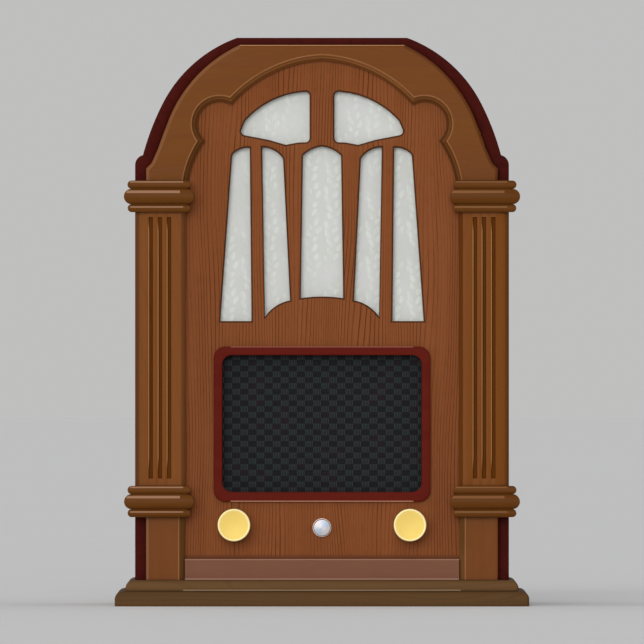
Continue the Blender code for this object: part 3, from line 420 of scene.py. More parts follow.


# -------------------- materials
# Woods: the lie of the grain, then base, grain line and warm tint, how strong the lines are,
# roughness, painted shade in the inner corners, and gloss.
WOODS = {
    "maroon": ("shell", "410f09", "2c0805", "45110b", 0.40, 0.42, 0.2, 0.02),
    "walnut": ("level", "6c3b0e", "512908", "6e3d09", 0.10, 0.40, 0.2, 0.08),
    # Painted highlight on the flutes' worn left arrises.
    "wear_and_sheen": ("upright", "a9794e", "8a5c34", "b08458", 0.20, 0.40, 0.0, 0.08),
    # Painted highlight along an arris: the moulding face's inner edge and the pedestals' bevel.
    "arris_highlight": ("upright", "8a5b34", "754a27", "90613a", 0.20, 0.40, 0.0, 0.08),
    # Painted highlight on the left of the moulding's outer rounding.
    "lit_band": ("upright", "764a28", "613a1c", "7a4e2c", 0.15, 0.38, 0.0, 0.08),
    # Painted highlight on the top of the moulding's outer rounding.
    "crown": ("level", "bd8e66", "a2754f", "c3956d", 0.10, 0.40, 0.0, 0.08),
    # Painted shade on the right of the moulding's outer rounding.
    "far": ("upright", "5f3310", "472408", "633612", 0.10, 0.42, 0.0, 0.08),
    # Painted highlight on the left pedestal's outer edge.
    "block_lit_band": ("upright", "7a5035", "663f27", "7e5439", 0.15, 0.38, 0.0, 0.08),
    # Cove wood, painted lighter towards its top as painted light.
    "cove": ("level", "653d1a", "4a290b", "68401d", 0.15, 0.42, 0.0, 0.05),
    # Painted shade deep in the moulding's cove.
    "cove_shade": ("level", "4c280b", "361a05", "4f2b0d", 0.15, 0.50, 0.0, 0.05),
    # Painted shade inside the flutes.
    "trench": ("upright", "5c300b", "3a1d07", "5f330c", 0.20, 0.50, 0.1, 0.03),
    "shaft": ("upright", "754112", "59300a", "774314", 0.15, 0.40, 0.2, 0.08),
    # The shafts' inner bevels in lit and shaded copies: painted lighter on the left shaft, darker on
    # the right.
    "shaft_left": ("upright", "83532b", "693e1c", "87572e", 0.15, 0.42, 0.0, 0.08),
    "shaft_right": ("upright", "643712", "4c280b", "673a14", 0.15, 0.42, 0.0, 0.08),
    # Painted shade on the shafts' outer rounding.
    "shaft_edge_shade": ("upright", "59310f", "432409", "5c3411", 0.15, 0.42, 0.0, 0.08),
    "pedestal": ("upright", "6e3c10", "532d09", "703e12", 0.12, 0.40, 0.2, 0.08),
    "bevel": ("upright", "64401d", "452a0f", "684320", 0.20, 0.42, 0.1, 0.08),
    "capital": ("level", "5f3611", "49270b", "623913", 0.15, 0.40, 0.0, 0.05),
    # Painted highlights on the capitals' rolls, brighter on the left pilaster than on the right.
    "painted_gleam": ("level", "946d52", "7f5a41", "997256", 0.10, 0.40, 0.0, 0.05),
    "painted_glint": ("level", "7d5331", "6c4526", "835937", 0.10, 0.40, 0.0, 0.05),
    "panel": ("veneer", "7e4622", "4a2109", "824925", 1.00, 0.46, 0.0, 0.05),
    # Painted shade on the walls of the fretwork's openings.
    "opening_shade": ("upright", "4d2b15", "35200f", "502e18", 0.30, 0.55, 0.0, 0.04),
    "rail": ("level", "774c38", "613e2d", "7a4f3b", 0.15, 0.42, 0.1, 0.08),
    # Painted highlight lines along the kick rail's long edges.
    "rail_highlight": ("level", "97705f", "83604f", "9b7564", 0.10, 0.40, 0.0, 0.08),
    "plinth_upper": ("level", "63482d", "4a331d", "664a2e", 0.25, 0.50, 0.2, 0.02),
    "plinth_lower": ("level", "563e26", "402c19", "5a4026", 0.30, 0.50, 0.2, 0.02),
    # Painted highlight line on the upper plinth's lower arris.
    "plinth_highlight": ("level", "8d765b", "7a644a", "917a5f", 0.10, 0.45, 0.0, 0.08),
    "red": ("frame", "59170f", "46110a", "5c1a10", 0.10, 0.42, 0.0, 0.02),
    # Painted highlight lines along the red frame's upper and lower edges.
    "red_highlight": ("frame", "97594a", "83493b", "9d6050", 0.10, 0.35, 0.0, 0.08),
    "red_foot_highlight": ("frame", "d79a80", "c08369", "dca086", 0.10, 0.35, 0.0, 0.08),
    "ply": ("birch", "b8935f", "8d6a3f", "c6a472", 0.35, 0.75, 0.3, 0.20),
}
# Lies of the grain: its axis, the way across its rings, their spacing, and how much they wander.
GRAINS = {
    "upright": ("Z", (1.0, 0.6, 0.0), 0.009, 9.0),
    "level": ("X", (0.0, 0.6, 1.0), 0.009, 9.0),
    "frame": ("X", (0.0, 0.5, 1.0), 0.009, 9.0),
    "shell": ("Y", (0.5, 0.0, 0.5), 0.009, 9.0),
    "veneer": ("Z", (1.0, 0.2, 0.0), 0.0031, 9.0),
    "birch": ("Z", (1.0, 0.5, 0.0), 0.011, 7.0),
}
# Woods painted lighter or darker with height: the colour they fade to, and where that starts and
# ends.
# The cove and its deep part are painted lighter towards the top, painted light; the panel is
# painted darker just above the rail, a painted shadow.
PAINTED_LIGHT_BY_HEIGHT = {"cove": ("885730", 0.46, 0.52), "cove_shade": ("5f3512", 0.46, 0.52),
         "panel": ("65381d", 0.0505, 0.0470)}


def srgb(code):
    """A colour in linear light from its six-digit hexadecimal code."""
    parts = [int(code[index:index + 2], 16) / 255 for index in (0, 2, 4)]
    return tuple(p / 12.92 if p <= 0.04045 else ((p + 0.055) / 1.055) ** 2.4 for p in parts)


class Value:
    """A number, vector or colour in a material's node tree, with the usual sums."""

    def __init__(self, graph, socket):
        self.graph = graph
        self.socket = socket

    def put(self, operation, other=0.0):
        """The number put through one of Blender's sums."""
        return self.graph.add("ShaderNodeMath", {0: self, 1: other}, operation=operation)

    def __add__(self, other):
        return self.put("ADD", other)

    def __sub__(self, other):
        return self.put("SUBTRACT", other)

    def __mul__(self, other):
        return self.put("MULTIPLY", other)

    def between(self, low, high, first=0.0, last=1.0):
        """A smooth step from first to last as the number goes from low to high."""
        return self.graph.add("ShaderNodeMapRange", {
            "Value": self, "From Min": low, "From Max": high, "To Min": first, "To Max": last},
            interpolation_type="SMOOTHSTEP")


class Graph:
    """A material's node tree, written as nested calls that return values."""

    def __init__(self, name):
        self.material = bpy.data.materials.new(name)
        self.material.use_nodes = True
        self.tree = self.material.node_tree
        self.shader = self.tree.nodes["Principled BSDF"]
        self.coords = self.add("ShaderNodeTexCoord", output="Object")

    def fill(self, node, inputs):
        """Join a node's inputs to values, or set them; a colour may be its code."""
        for key, value in inputs.items():
            socket = node.inputs[key]
            if isinstance(value, Value):
                self.tree.links.new(value.socket, socket)
            elif socket.type == "RGBA":
                socket.default_value = (*(srgb(value) if isinstance(value, str) else value), 1.0)
            else:
                socket.default_value = value

    def add(self, kind, inputs=None, output=0, **settings):
        """An output of a new node, its settings made and its inputs joined or set."""
        made = self.tree.nodes.new(kind)
        for key, value in settings.items():
            setattr(made, key, value)
        self.fill(made, inputs or {})
        return Value(self, made.outputs[output])

    def axis(self, name):
        """One of the object's coordinates."""
        return self.add("ShaderNodeSeparateXYZ", {0: self.coords}, name)

    def drawn(self, axis, share):
        """The coordinates for a pattern drawn out along one axis, which keeps a share of them."""
        scale = [share if name == axis else 1.0 for name in "XYZ"]
        return self.add("ShaderNodeVectorMath", {0: self.coords, 1: scale}, operation="MULTIPLY")

    def noise(self, scale, detail=2.0, rough=0.5, distortion=0.0, vector=None):
        """Smooth noise, mostly from 0.3 to 0.7."""
        return self.add("ShaderNodeTexNoise", {
            "Vector": vector or self.coords, "Scale": scale, "Detail": detail,
            "Roughness": rough, "Distortion": distortion})

    def wave(self, axis, pitch):
        """A sine wave of a pitch in metres along an axis."""
        return (self.axis(axis) * (math.tau / pitch)).put("SINE")

    def threads(self, across, up):
        """A plain weave of two thread spacings, from 0 to 1."""
        return self.wave("X", across) * self.wave("Z", up) * 0.5 + 0.5

    def length(self, vector):
        """How long a vector is."""
        return self.add("ShaderNodeVectorMath", {0: vector}, "Value", operation="LENGTH")

    def mix(self, factor, first, second):
        """One colour over another."""
        return self.add("ShaderNodeMix", {0: factor, 6: first, 7: second}, 2, data_type="RGBA")

    def bump(self, height, distance, strength):
        """Bump from a height of 0 to 1 times a distance in metres."""
        normal = self.add("ShaderNodeBump", {"Height": height, "Distance": distance,
                                             "Strength": strength})
        self.fill(self.shader, {"Normal": normal})

    def finish(self, colour, roughness, **constants):
        """Set the shader's colour, roughness and own numbers, and return the material."""
        self.fill(self.shader, {"Base Color": colour, "Roughness": roughness})
        self.fill(self.shader, {key.replace("_", " "): value for key, value in constants.items()})
        return self.material


def wood(key):
    """Varnished wood whose growth rings lie along its grain, with painted shade in its inner
    corners.
    """
    lie, base, line, warm, lines, roughness, corner_shade, gloss = WOODS[key]
    grain, across, ring, wander = GRAINS[lie]
    graph = Graph(f"{key}_wood")
    swirl = graph.noise(26.0, 1.0, 0.4, vector=graph.drawn(grain, 0.14))
    flow = graph.add("ShaderNodeVectorMath", {0: graph.coords, 1: across}, "Value",
                     operation="DOT_PRODUCT")
    phase = (flow * (1 / ring) + swirl * wander).put("FRACT")
    stroke = phase.between(0.03, 0.24, 1.0, 0.0).put("MAXIMUM", phase.between(0.93, 1.0))
    fade = graph.noise(70.0, vector=graph.drawn(grain, 0.10)).between(0.34, 0.62, 0.30, 1.0)
    stroke = stroke * fade * lines
    pores = graph.noise(1500.0, 2.0, 0.6, vector=graph.drawn(grain, 0.05))
    pore = pores.between(0.54, 0.72)
    tint = graph.noise(75.0, vector=graph.drawn(grain, 0.05)).between(0.40, 0.60)
    colour = graph.mix(stroke, graph.mix(tint, base, warm), line)
    colour = graph.mix(pore * (0.35 * lines), colour, line)
    # Painted light and shadow: the colour is blended towards another with height.
    if key in PAINTED_LIGHT_BY_HEIGHT:
        tone, start, end = PAINTED_LIGHT_BY_HEIGHT[key]
        colour = graph.mix(graph.axis("Z").between(start, end), colour, tone)
    # Painted shade: the colour darkens where ambient occlusion finds an inner corner.
    if corner_shade:
        occlusion = graph.add("ShaderNodeAmbientOcclusion", {"Distance": 0.0035}, "AO", samples=4)
        colour = graph.mix(occlusion.between(0.95, 0.45) * corner_shade, colour,
                           tuple(0.35 * part for part in srgb(line)))
    graph.bump(stroke * -0.4 - pore * 0.6, 0.00010, 0.6)
    return graph.finish(colour, pores * 0.16 + (roughness - 0.08), Specular_IOR_Level=gloss)


def metal(name, base, shade, roughness, brush="", scale=900.0, spots=0.25, metallic=1.0):
    """Metal finely brushed along an axis, with a mottled tarnish."""
    graph = Graph(name)
    streak = graph.noise(scale, 3.0, 0.6, vector=graph.drawn(brush, 0.08))
    cloud = graph.noise(90.0, 3.0).between(0.42, 0.70)
    colour = graph.mix(cloud * spots, base, shade)
    graph.bump(streak, 0.00002, 0.5)
    return graph.finish(colour, streak * 0.18 + (cloud * 0.12 + (roughness - 0.10)),
                        Metallic=metallic)


def turned_metal(name, base, shade, rim, rim_radius, roughness, metallic, tint=None):
    """Metal turned on a lathe about its own Y axis: fine rings, a rim painted paler as its
    highlight, and sectors tinted as a painted reflection.
    """
    graph = Graph(name)
    radius = graph.length(graph.drawn("Y", 0.0))
    rings = graph.add("ShaderNodeCombineXYZ", {0: radius})
    groove = graph.noise(3800.0, 3.0, 0.7, vector=rings)
    cloud = graph.noise(160.0, 3.0).between(0.40, 0.70)
    colour = graph.mix(cloud * 0.35, base, shade)
    # Painted reflection: the tint comes and goes twice round the face.
    if tint:
        facing = graph.add("ShaderNodeVectorRotate", {
            "Vector": graph.coords, "Axis": (1, 0, 0), "Angle": math.pi / 2})
        angle = graph.add("ShaderNodeTexGradient", {"Vector": facing}, 1, gradient_type="RADIAL")
        reflection_sector = (angle * (2 * math.tau) + math.radians(190)).put("SINE")
        colour = graph.mix(reflection_sector.between(-1.0, 1.0), colour, tint)
    # Painted highlight: a paler ring at the rim.
    colour = graph.mix(radius.between(rim_radius - 0.0003, rim_radius), colour, rim)
    graph.bump(groove, 0.00002, 0.6)
    return graph.finish(colour, groove * 0.16 + (roughness - 0.08), Metallic=metallic)


def damask():
    """Pale figured cloth: leaves on a winding stem, woven from fine threads."""
    graph = Graph("damask_weave")
    width, height = 20.0, 34.0               # the pattern's repeat, in millimetres
    stem_middle, stem_swing = 10.0, 2.4
    column = graph.axis("X") * (1000 / width)
    row = graph.axis("Z") * (1000 / height) + column.put("FLOOR") * 0.5
    wobble = (graph.noise(90.0) - 0.5) * 0.14
    u = column.put("FRACT") * width
    v = (row + wobble).put("FRACT") * height
    tile = graph.add("ShaderNodeCombineXYZ", {0: u, 1: v})
    stem = (v * (math.tau / height)).put("SINE") * stem_swing
    stem = (u - stem_middle - stem).put("ABSOLUTE")
    figure = stem.between(0.75, 0.35, 0.0, 0.3)
    leaves = 8
    for leaf in range(leaves):
        side = 1 if leaf % 2 else -1
        up = height * (leaf + 0.5) / leaves
        middle = stem_middle + stem_swing * math.sin(math.tau * up / height)
        place = graph.add("ShaderNodeMapping", {
            "Vector": tile, "Location": (middle + side * (3.6 + 0.7 * (leaf % 3)), up, 0.0),
            "Rotation": (0.0, 0.0, -side * math.radians(18 + 9 * (leaf % 3))),
            "Scale": (2.3, 5.0 - 0.8 * (leaf % 2), 1.0)}, vector_type="TEXTURE")
        figure = figure.put("MAXIMUM", graph.length(place).between(1.15, 0.70))
    mottle = graph.noise(520.0, 3.0, 0.6, vector=graph.drawn("Z", 0.12))
    figure = figure * mottle.between(0.35, 0.60, 0.25, 1.0)
    figure = figure * graph.noise(34.0, 1.0).between(0.36, 0.56, 0.15, 1.0)
    threads = graph.threads(0.00052, 0.00060)
    colour = graph.mix(graph.noise(46.0).between(0.40, 0.60), "cfd1cb", "d2d3d0")
    colour = graph.mix(figure, colour, "dbe0d8")
    colour = graph.mix(threads * 0.08, colour, "a9aaa2")
    graph.bump(threads + figure * 0.6, 0.00008, 0.5)
    return graph.finish(colour, figure * -0.22 + 0.88, Specular_IOR_Level=0.2,
                        Sheen_Weight=0.12, Sheen_Roughness=0.4)


def checker_weave():
    """Black cloth woven in a checker: upright grey-green threads, and level black ones between."""
    graph = Graph("checker_weave")
    u = (graph.axis("X") - CELL_LEFT) * (1 / CELL_WIDTH)
    v = (graph.axis("Z") - CELL_FOOT) * (1 / CELL_HEIGHT)
    light = (u.put("FLOOR") + v.put("FLOOR") + 100.0).put("MODULO", 2.0)
    upright = (u * (UPRIGHT_THREADS * math.pi)).put("SINE").put("ABSOLUTE")
    level = (v * (LEVEL_THREADS * math.pi)).put("SINE").put("ABSOLUTE")
    each = ((u * float(UPRIGHT_THREADS)).put("FLOOR") + 1000.0).put("MODULO", 2.0)
    green = graph.noise(38.0).between(0.42, 0.60)
    thread = graph.mix(each * green, "303233", "2a3534")
    thread = graph.mix(upright.between(0.30, 0.85), "141516", thread)
    beyond = graph.add("ShaderNodeVectorMath", {0: graph.coords, 1: (3.0, 0.0, 5.0)})
    purple = graph.noise(42.0, vector=beyond).between(0.52, 0.66)
    dark = graph.mix(purple, "18191b", "22191d")
    dark = graph.mix(level.between(0.10, 0.7), "101112", dark)
    graph.bump(graph.noise(3000.0, 2.0, 0.6, vector=graph.drawn("Z", 0.3)), 0.00008, 0.6)
    return graph.finish(graph.mix(light, dark, thread), 0.82, Specular_IOR_Level=0.12,
                        Sheen_Weight=0.04, Sheen_Roughness=0.5)


def hardboard():
    """Brown pressed board with a fine screen pattern pressed into it."""
    graph = Graph("pressed_hardboard")
    screen = graph.threads(0.0016, 0.0016)
    fibres = graph.noise(700.0, 4.0, 0.65)
    cloud = graph.noise(24.0, 3.0).between(0.35, 0.65)
    colour = graph.mix(cloud, "6a4a31", "7a5739")
    colour = graph.mix(fibres.between(0.45, 0.70, 0.0, 0.5), colour, "4a311f")
    colour = graph.mix(screen * 0.22, colour, "3e291a")
    graph.bump(screen * 0.8 + fibres * 0.5, 0.00025, 0.7)
    return graph.finish(colour, 0.82, Specular_IOR_Level=0.25)


def mottled(name, first, second, noise, span, roughness, bump=None, **constants):
    """A plain stuff that noise mottles over a span of its values, and roughens if it has bump."""
    graph = Graph(name)
    cloud = graph.noise(*noise)
    if bump:
        graph.bump(cloud, *bump)
    return graph.finish(graph.mix(cloud.between(*span), first, second), roughness, **constants)


def bakelite():
    """Dark brown moulded bakelite with a faint mottle."""
    graph = Graph("moulded_bakelite")
    mottle = graph.noise(150.0, 4.0, 0.6, 0.8, graph.drawn("Z", 0.5))
    graph.bump(graph.noise(900.0, 3.0), 0.00003, 0.5)
    return graph.finish(graph.mix(mottle.between(0.42, 0.66), "2a1710", "47271a"),
                        mottle * 0.2 + 0.22, Specular_IOR_Level=0.5)


def waxed_cord():
    """Twisted waxed flax, its strands running slantwise."""
    graph = Graph("waxed_cord")
    slant = graph.axis("Y") + graph.axis("Z") * 0.6 + graph.axis("X") * 0.6
    strand = (slant * (math.pi / 0.0008)).put("SINE").put("ABSOLUTE")
    graph.bump(strand, 0.0001, 0.8)
    return graph.finish(graph.mix(strand, "5d4f36", "a8966c"), 0.7,
                        Specular_IOR_Level=0.3)


def studio_floor():
    """Matt paper, not quite even."""
    graph = Graph("studio_floor")
    return graph.finish(graph.mix(graph.noise(3.0), (0.80, 0.80, 0.79), (0.82, 0.82, 0.81)), 0.9,
                        Specular_IOR_Level=0.1)


def clear_glass():
    """Blown valve glass with a slight grey tint and smears."""
    graph = Graph("valve_glass")
    smear = graph.noise(130.0, 3.0, vector=graph.drawn("Z", 0.4))
    return graph.finish("e4e8e4", smear.between(0.45, 0.75, 0.02, 0.12),
                        Transmission_Weight=0.95, IOR=1.45)


# Every finish of the set, by name.
FINISH = {key: wood(key) for key in WOODS}
FINISH.update({
    "damask": damask(), "weave": checker_weave(), "hardboard": hardboard(),
    "bakelite": bakelite(), "glass": clear_glass(), "cord": waxed_cord(),
    "cone": mottled("cone_paper", "2b2826", "4a4540", (620.0, 4.0, 0.7), (0.42, 0.72), 0.95,
                    (0.00025, 0.7), Specular_IOR_Level=0.15),
    "rubber": mottled("moulded_rubber", "161616", "2a2928", (1200.0, 3.0, 0.6), (0.50, 0.75),
                      0.80, (0.00005, 0.5), Specular_IOR_Level=0.35),
    "getter": mottled("getter_flash", "c9cbcc", "7c6f62", (260.0, 3.0), (0.40, 0.70), 0.18,
                      Metallic=1.0),
    "steel": metal("plated_steel_sheet", "b3b2ae", "857d6c", 0.42, "X"),
    "brass": metal("plain_brass", "d8b667", "9a7a3e", 0.34),
    "aluminium": metal("aluminium_sheet", "cfcfcc", "a8a79f", 0.38, "Z"),
    "iron": metal("black_japanned_iron", "2c2c2d", "40372f", 0.52, "", 500.0, 0.4, 0.5),
    # The gold and silver rims are painted paler as highlights, and the silver's sectors are a
    # painted reflection.
    "gold": turned_metal("turned_gold_brass", "dcbe5d", "d8b754", "ffeead", 0.0139, 0.48, 0.30),
    "silver": turned_metal("turned_satin_metal", "c5bfbf", "b8b5ba", "e2d4d0", 0.0074, 0.42,
                           0.30, "a5b3c3"),
    "rim": turned_metal("bezel_metal", "f4e8e3", "e8dad4", "f4e8e3", 0.02, 0.45, 0.1),
    "floor": studio_floor(),
})


# -------------------- cabinet outlines
def cabinet_half(set_in, foot):
    """Right half of the cabinet's outline from the crown down, set in by a distance."""
    side = SHELL_SIDE - set_in
    crown_radius = CROWN_RADIUS - set_in
    haunch_radius = HAUNCH_RADIUS - set_in
    shoulder_radius = SHOULDER_RADIUS - set_in
    haunch = on_circle(CROWN_CENTRE, crown_radius - haunch_radius, HAUNCH_ANGLE)
    top = at_height(CROWN_CENTRE, crown_radius, HEIGHT - set_in)
    turn = on_circle(CROWN_CENTRE, crown_radius, HAUNCH_ANGLE)
    path = arc(CROWN_CENTRE, top, turn, 40)
    if shoulder_radius > 0:
        corner = meet(haunch, haunch_radius, SHOULDER_CENTRE, shoulder_radius, 1)
        path += arc(haunch, turn, corner, 16)
        path += arc(SHOULDER_CENTRE, corner, (side, SHOULDER_CENTRE[1]), 10)
        path += [(side, SHOULDER_CENTRE[1])]
    else:
        end = at_width(haunch, haunch_radius, side)
        path += arc(haunch, turn, end, 26) + [end]
    return path + [(side, foot)]


def moulding_outer_half():
    """Right half of the arch moulding's outer edge, from its flat top down to its foot."""
    top = at_height(HOOD_CENTRE, HOOD_RADIUS, MOULDING_TOP)
    turn = on_circle(HOOD_CENTRE, HOOD_RADIUS, HOOD_SWEEP_ANGLE)
    sweep = on_circle(HOOD_CENTRE, HOOD_RADIUS + HOOD_SWEEP_RADIUS, HOOD_SWEEP_ANGLE)
    path = arc(HOOD_CENTRE, top, turn, 40)
    path += arc(sweep, turn, HOOD_FLARE, 20)
    return path + [HOOD_FLARE, HOOD_CORNER, (MOULDING_SIDE, MOULDING_FOOT)]


def moulding_inner_half(set_in):
    """Right half of the moulding's cusped inner edge, set towards the opening."""
    vault = VAULT_RADIUS - set_in
    lobe = LOBE_RADIUS - set_in
    leg = LEG_RADIUS - set_in
    middle = (0.0, VAULT_CENTRE[1] + math.sqrt(vault ** 2 - VAULT_CENTRE[0] ** 2))
    upper_cusp = meet(VAULT_CENTRE, vault, LOBE_CENTRE, lobe, 1)
    lower_cusp = meet(LOBE_CENTRE, lobe, LEG_CENTRE, leg, 1)
    outermost = (LOBE_CENTRE[0] + lobe, LOBE_CENTRE[1])
    foot = at_height(LEG_CENTRE, leg, MOULDING_FOOT)
    path = arc(VAULT_CENTRE, middle, upper_cusp, 40)
    path += arc(LOBE_CENTRE, upper_cusp, outermost, 22)
    path += arc(LOBE_CENTRE, outermost, lower_cusp, 10)
    path += arc(LEG_CENTRE, lower_cusp, foot, 16)
    return path + [foot]


def moulding_outline(outer, inner):
    """The whole moulding with its outer edge and its inner edge each set in."""
    rim = inset(mirrored(moulding_outer_half()), outer)
    right = rim[:len(rim) // 2]
    right[-1] = (right[-1][0], MOULDING_FOOT)
    within = moulding_inner_half(inner)[::-1]
    return right + within + flipped(within)[1:] + flipped(right)


def lobe_opening():
    """The right-hand upper opening of the fretwork."""
    back = [(x, z, 0.0) for x, z in reversed(arc(*LOBE_BACK, 24))]
    return filleted(list(LOBE_CORNERS) + back + [LOBE_PEAK])


def outer_finger():
    """The right-hand outer slot of the fretwork."""
    return [OUTER_FINGER_FOOT] + arc(*OUTER_FINGER_TOP, 14) + list(OUTER_FINGER_SIDE)


def middle_finger():
    """The right-hand inner slot of the fretwork."""
    path = []
    for curve in (MIDDLE_FINGER_TOP, MIDDLE_FINGER_FOOT):
        path += arc(*curve, 16) + [curve[2]]
    return path


def centre_finger():
    """The slot on the centre line."""
    right = arc(*CENTRE_FINGER_TOP, 14) + [CENTRE_FINGER_TOP[2]]
    left = [(-x, z) for x, z in reversed(right) if x > 1e-6]
    return right + arc(*CENTRE_FINGER_FOOT, 16) + [CENTRE_FINGER_FOOT[2]] + left


# -------------------- cabinet
def build_plinth(node):
    """A board with its front and side edges rounded over, flush at the back."""
    low = LOW[node]
    high = HIGH[node]
    arris = 0.0003
    arris_steps = 3
    # Height of the painted highlight line above the plinth's lower arris.
    line = 0.0013
    levels = [(back, low.z + set_in) for set_in, back in quarter_round(arris, arris_steps)]
    levels.append((0.0, low.z + line))
    levels += [(set_in, high.z - back) for set_in, back in reversed(quarter_round(PLINTH_ROUND, 16))]
    rings = []
    for set_in, z in levels:
        corner = max(PLINTH_CORNER - 0.3 * set_in, 0.0006)
        front = low.y + set_in
        side = high.x - set_in
        back = high.y - min(set_in, arris)
        plan = filleted([(-HIGHLIGHT_REACH, front, 0.0), (HIGHLIGHT_REACH, front, 0.0), (side, front, corner),
                         (side, back, arris), (-side, back, arris), (-side, front, corner)], 6)
        rings.append([(x, y, z) for x, y in plan])

    def slot(number, index):
        """1 on the painted highlight line along the upper board's lower arris."""
        return 1 if node == "plinth_upper" and index == 1 and number <= arris_steps else 0

    piece(f"{node}_board", node, stacked(rings, slot), [node, "plinth_highlight"])


def build_shell():
    """The bent shell, its two edges eased."""
    def rim(set_in):
        """The shell's cross-section, its outer edge set in and its inner edge half as much."""
        outside = cabinet_half(set_in, FLOOR)
        within = cabinet_half(WALL - set_in / 2, FLOOR)[::-1]
        return outside + within + flipped(within) + flipped(outside)

    ease = quarter_round(0.0012, 5)
    layers = [(FACE + back, [rim(set_in)]) for set_in, back in ease]
    layers += [(SHELL_BACK - back, [rim(set_in)]) for set_in, back in reversed(ease)]
    piece("bent_shell", "cabinet_shell", board(layers), ["maroon"])


def build_panel():
    """The fretted front, the edges of its openings rounded and painted dark as shade."""
    rim = mirrored(cabinet_half(WALL + GAP, FLOOR))
    right = [lobe_opening(), outer_finger(), middle_finger()]
    fret = right + [flipped(loop) for loop in right] + [centre_finger()]
    fret = [spaced(loop) for loop in fret]
    spindle = 0.0042
    bezel_hole = 0.0083
    holes = [rounded_rectangle(*WINDOW, WINDOW_RADIUS), circle(-KNOB_X, KNOB_Z, spindle),
             circle(KNOB_X, KNOB_Z, spindle), circle(0.0, BUTTON_Z, bezel_hole)]
    tuck = 0.0004                            # how much narrower the openings are behind
    layers = []
    for set_in, back in quarter_round(0.0016, 5):
        layers.append((FACE + back, [rim] + [inset(loop, tuck - set_in) for loop in fret] + holes))
    layers.append((PANEL_BACK, [rim] + [inset(loop, tuck) for loop in fret] + holes))
    # Slot 1, the walls of the fretwork's openings, is painted shade.
    bm = board(layers, lambda layer, number, index: 1 <= number <= len(fret))
    piece("fretted_front", "front_panel", bm, ["panel", "opening_shade"])


def build_moulding():
    """The cusped arch: a rounded outer edge, a flat face, and a cove along its inner edge."""
    face = LOW["arch_moulding"].y
    line = 0.0006
    lip = 0.0003
    cove_edge = lip + 0.0001
    cove_layer = 3                           # where the cove starts
    round_layer = 7                          # where the outer edge's rounding ends
    steps = 12
    depths = [(0.0, -lip - line), (0.00001, -lip), (lip, 0.0)]
    depths += [(cove_edge + COVE_RADIUS * math.sin(turn), COVE - COVE_RADIUS * math.cos(turn))
               for turn in spread(0.0, math.pi / 2, steps)]
    depths.append((PLANTED - face, COVE))
    layers = []
    for depth, inner in depths:
        reach = OUTER_ROUND - min(depth, OUTER_ROUND)
        outer = OUTER_ROUND - math.sqrt(OUTER_ROUND ** 2 - reach ** 2)
        layers.append((face + depth, [moulding_outline(outer, inner)]))
    total = len(layers[0][1][0])
    side = len(moulding_outer_half())

    def slot(layer, number, index):
        """Painted highlight along the inner edge of the face, painted shade deep in the cove, and on
        the outer rounding a painted highlight at the top and left and painted shade on the right.
        """
        if side < index < total - side:
            if layer < 2:
                return 1
            return 3 if layer > cove_layer + 0.6 * steps else 2
        if layer > round_layer or (index == 0 and layer <= cove_layer):
            return 0
        if index == 0:
            return 4
        return 5 if index > total - side else 6

    # crown is the painted highlight along the top and far the painted shade on the right of the
    # outer rounding.
    piece("cusped_moulding", "arch_moulding", board(layers, slot),
          ["walnut", "arris_highlight", "cove", "cove_shade", "crown", "lit_band", "far"])


def build_rail():
    """The kick rail with its long edges rounded and given painted highlight lines."""
    low = LOW["kick_rail"]
    high = HIGH["kick_rail"]
    # The painted highlight lines lie below foot and above top.
    foot = low.z + 0.0014
    top = high.z - 0.0009
    section = [(low.y, low.z), (low.y, foot), (low.y, top)]
    section += [(low.y + back, high.z - set_in) for set_in, back in quarter_round(0.0006, 4)]
    section += [(high.y, high.z), (high.y, low.z)]
    rings = [[(x, y, z) for y, z in section] for x in (low.x, high.x)]

    def slot(number, index):
        """1, a painted highlight, on the two long edges of the face."""
        if not 0 < index < len(section) - 2:
            return 0
        middle = (section[index][1] + section[index - 1][1]) / 2
        return 0 if foot < middle < top else 1

    piece("kick_rail_board", "kick_rail", stacked(rings, slot), ["rail", "rail_highlight"])


def build_speaker_frame():
    """The red frame: a flat face with its edges rounded."""
    low = LOW["speaker_frame"]
    high = HIGH["speaker_frame"]
    reach = 0.0882                           # half length of the painted highlight lines on the edges
    right = [(reach, low.z, 0.0), (high.x, low.z, FRAME_RADIUS), (high.x, high.z, FRAME_RADIUS),
             (reach, high.z, 0.0)]
    outer = filleted(right + [(-x, z, radius) for x, z, radius in reversed(right)], 14)
    inner = rounded_rectangle(*WINDOW, WINDOW_RADIUS, steps=14)
    steps = 6
    layers = []
    for set_in, back in quarter_round(0.0010, steps):
        layers.append((low.y + back, [inset(outer, set_in), inset(inner, -set_in)]))
    layers.append((high.y, [outer, inner]))

    def slot(layer, number, index):
        """1, a painted highlight, on the upper edge and 2, a brighter painted highlight, on the
        lower one.
        """
        x, z = outer[index]
        if number or not 0 < layer < steps or abs(x - outer[index - 1][0]) < reach:
            return 0
        return 1 if z > MIDDLE["speaker_frame"].z else 2

    piece("red_frame", "speaker_frame", board(layers, slot), ["red", "red_highlight", "red_foot_highlight"])


# -------------------- pilasters
def sides_of(node):
    """How far a node's inner and outer sides are from the centre line."""
    return sorted((abs(LOW[node].x), abs(HIGH[node].x)))


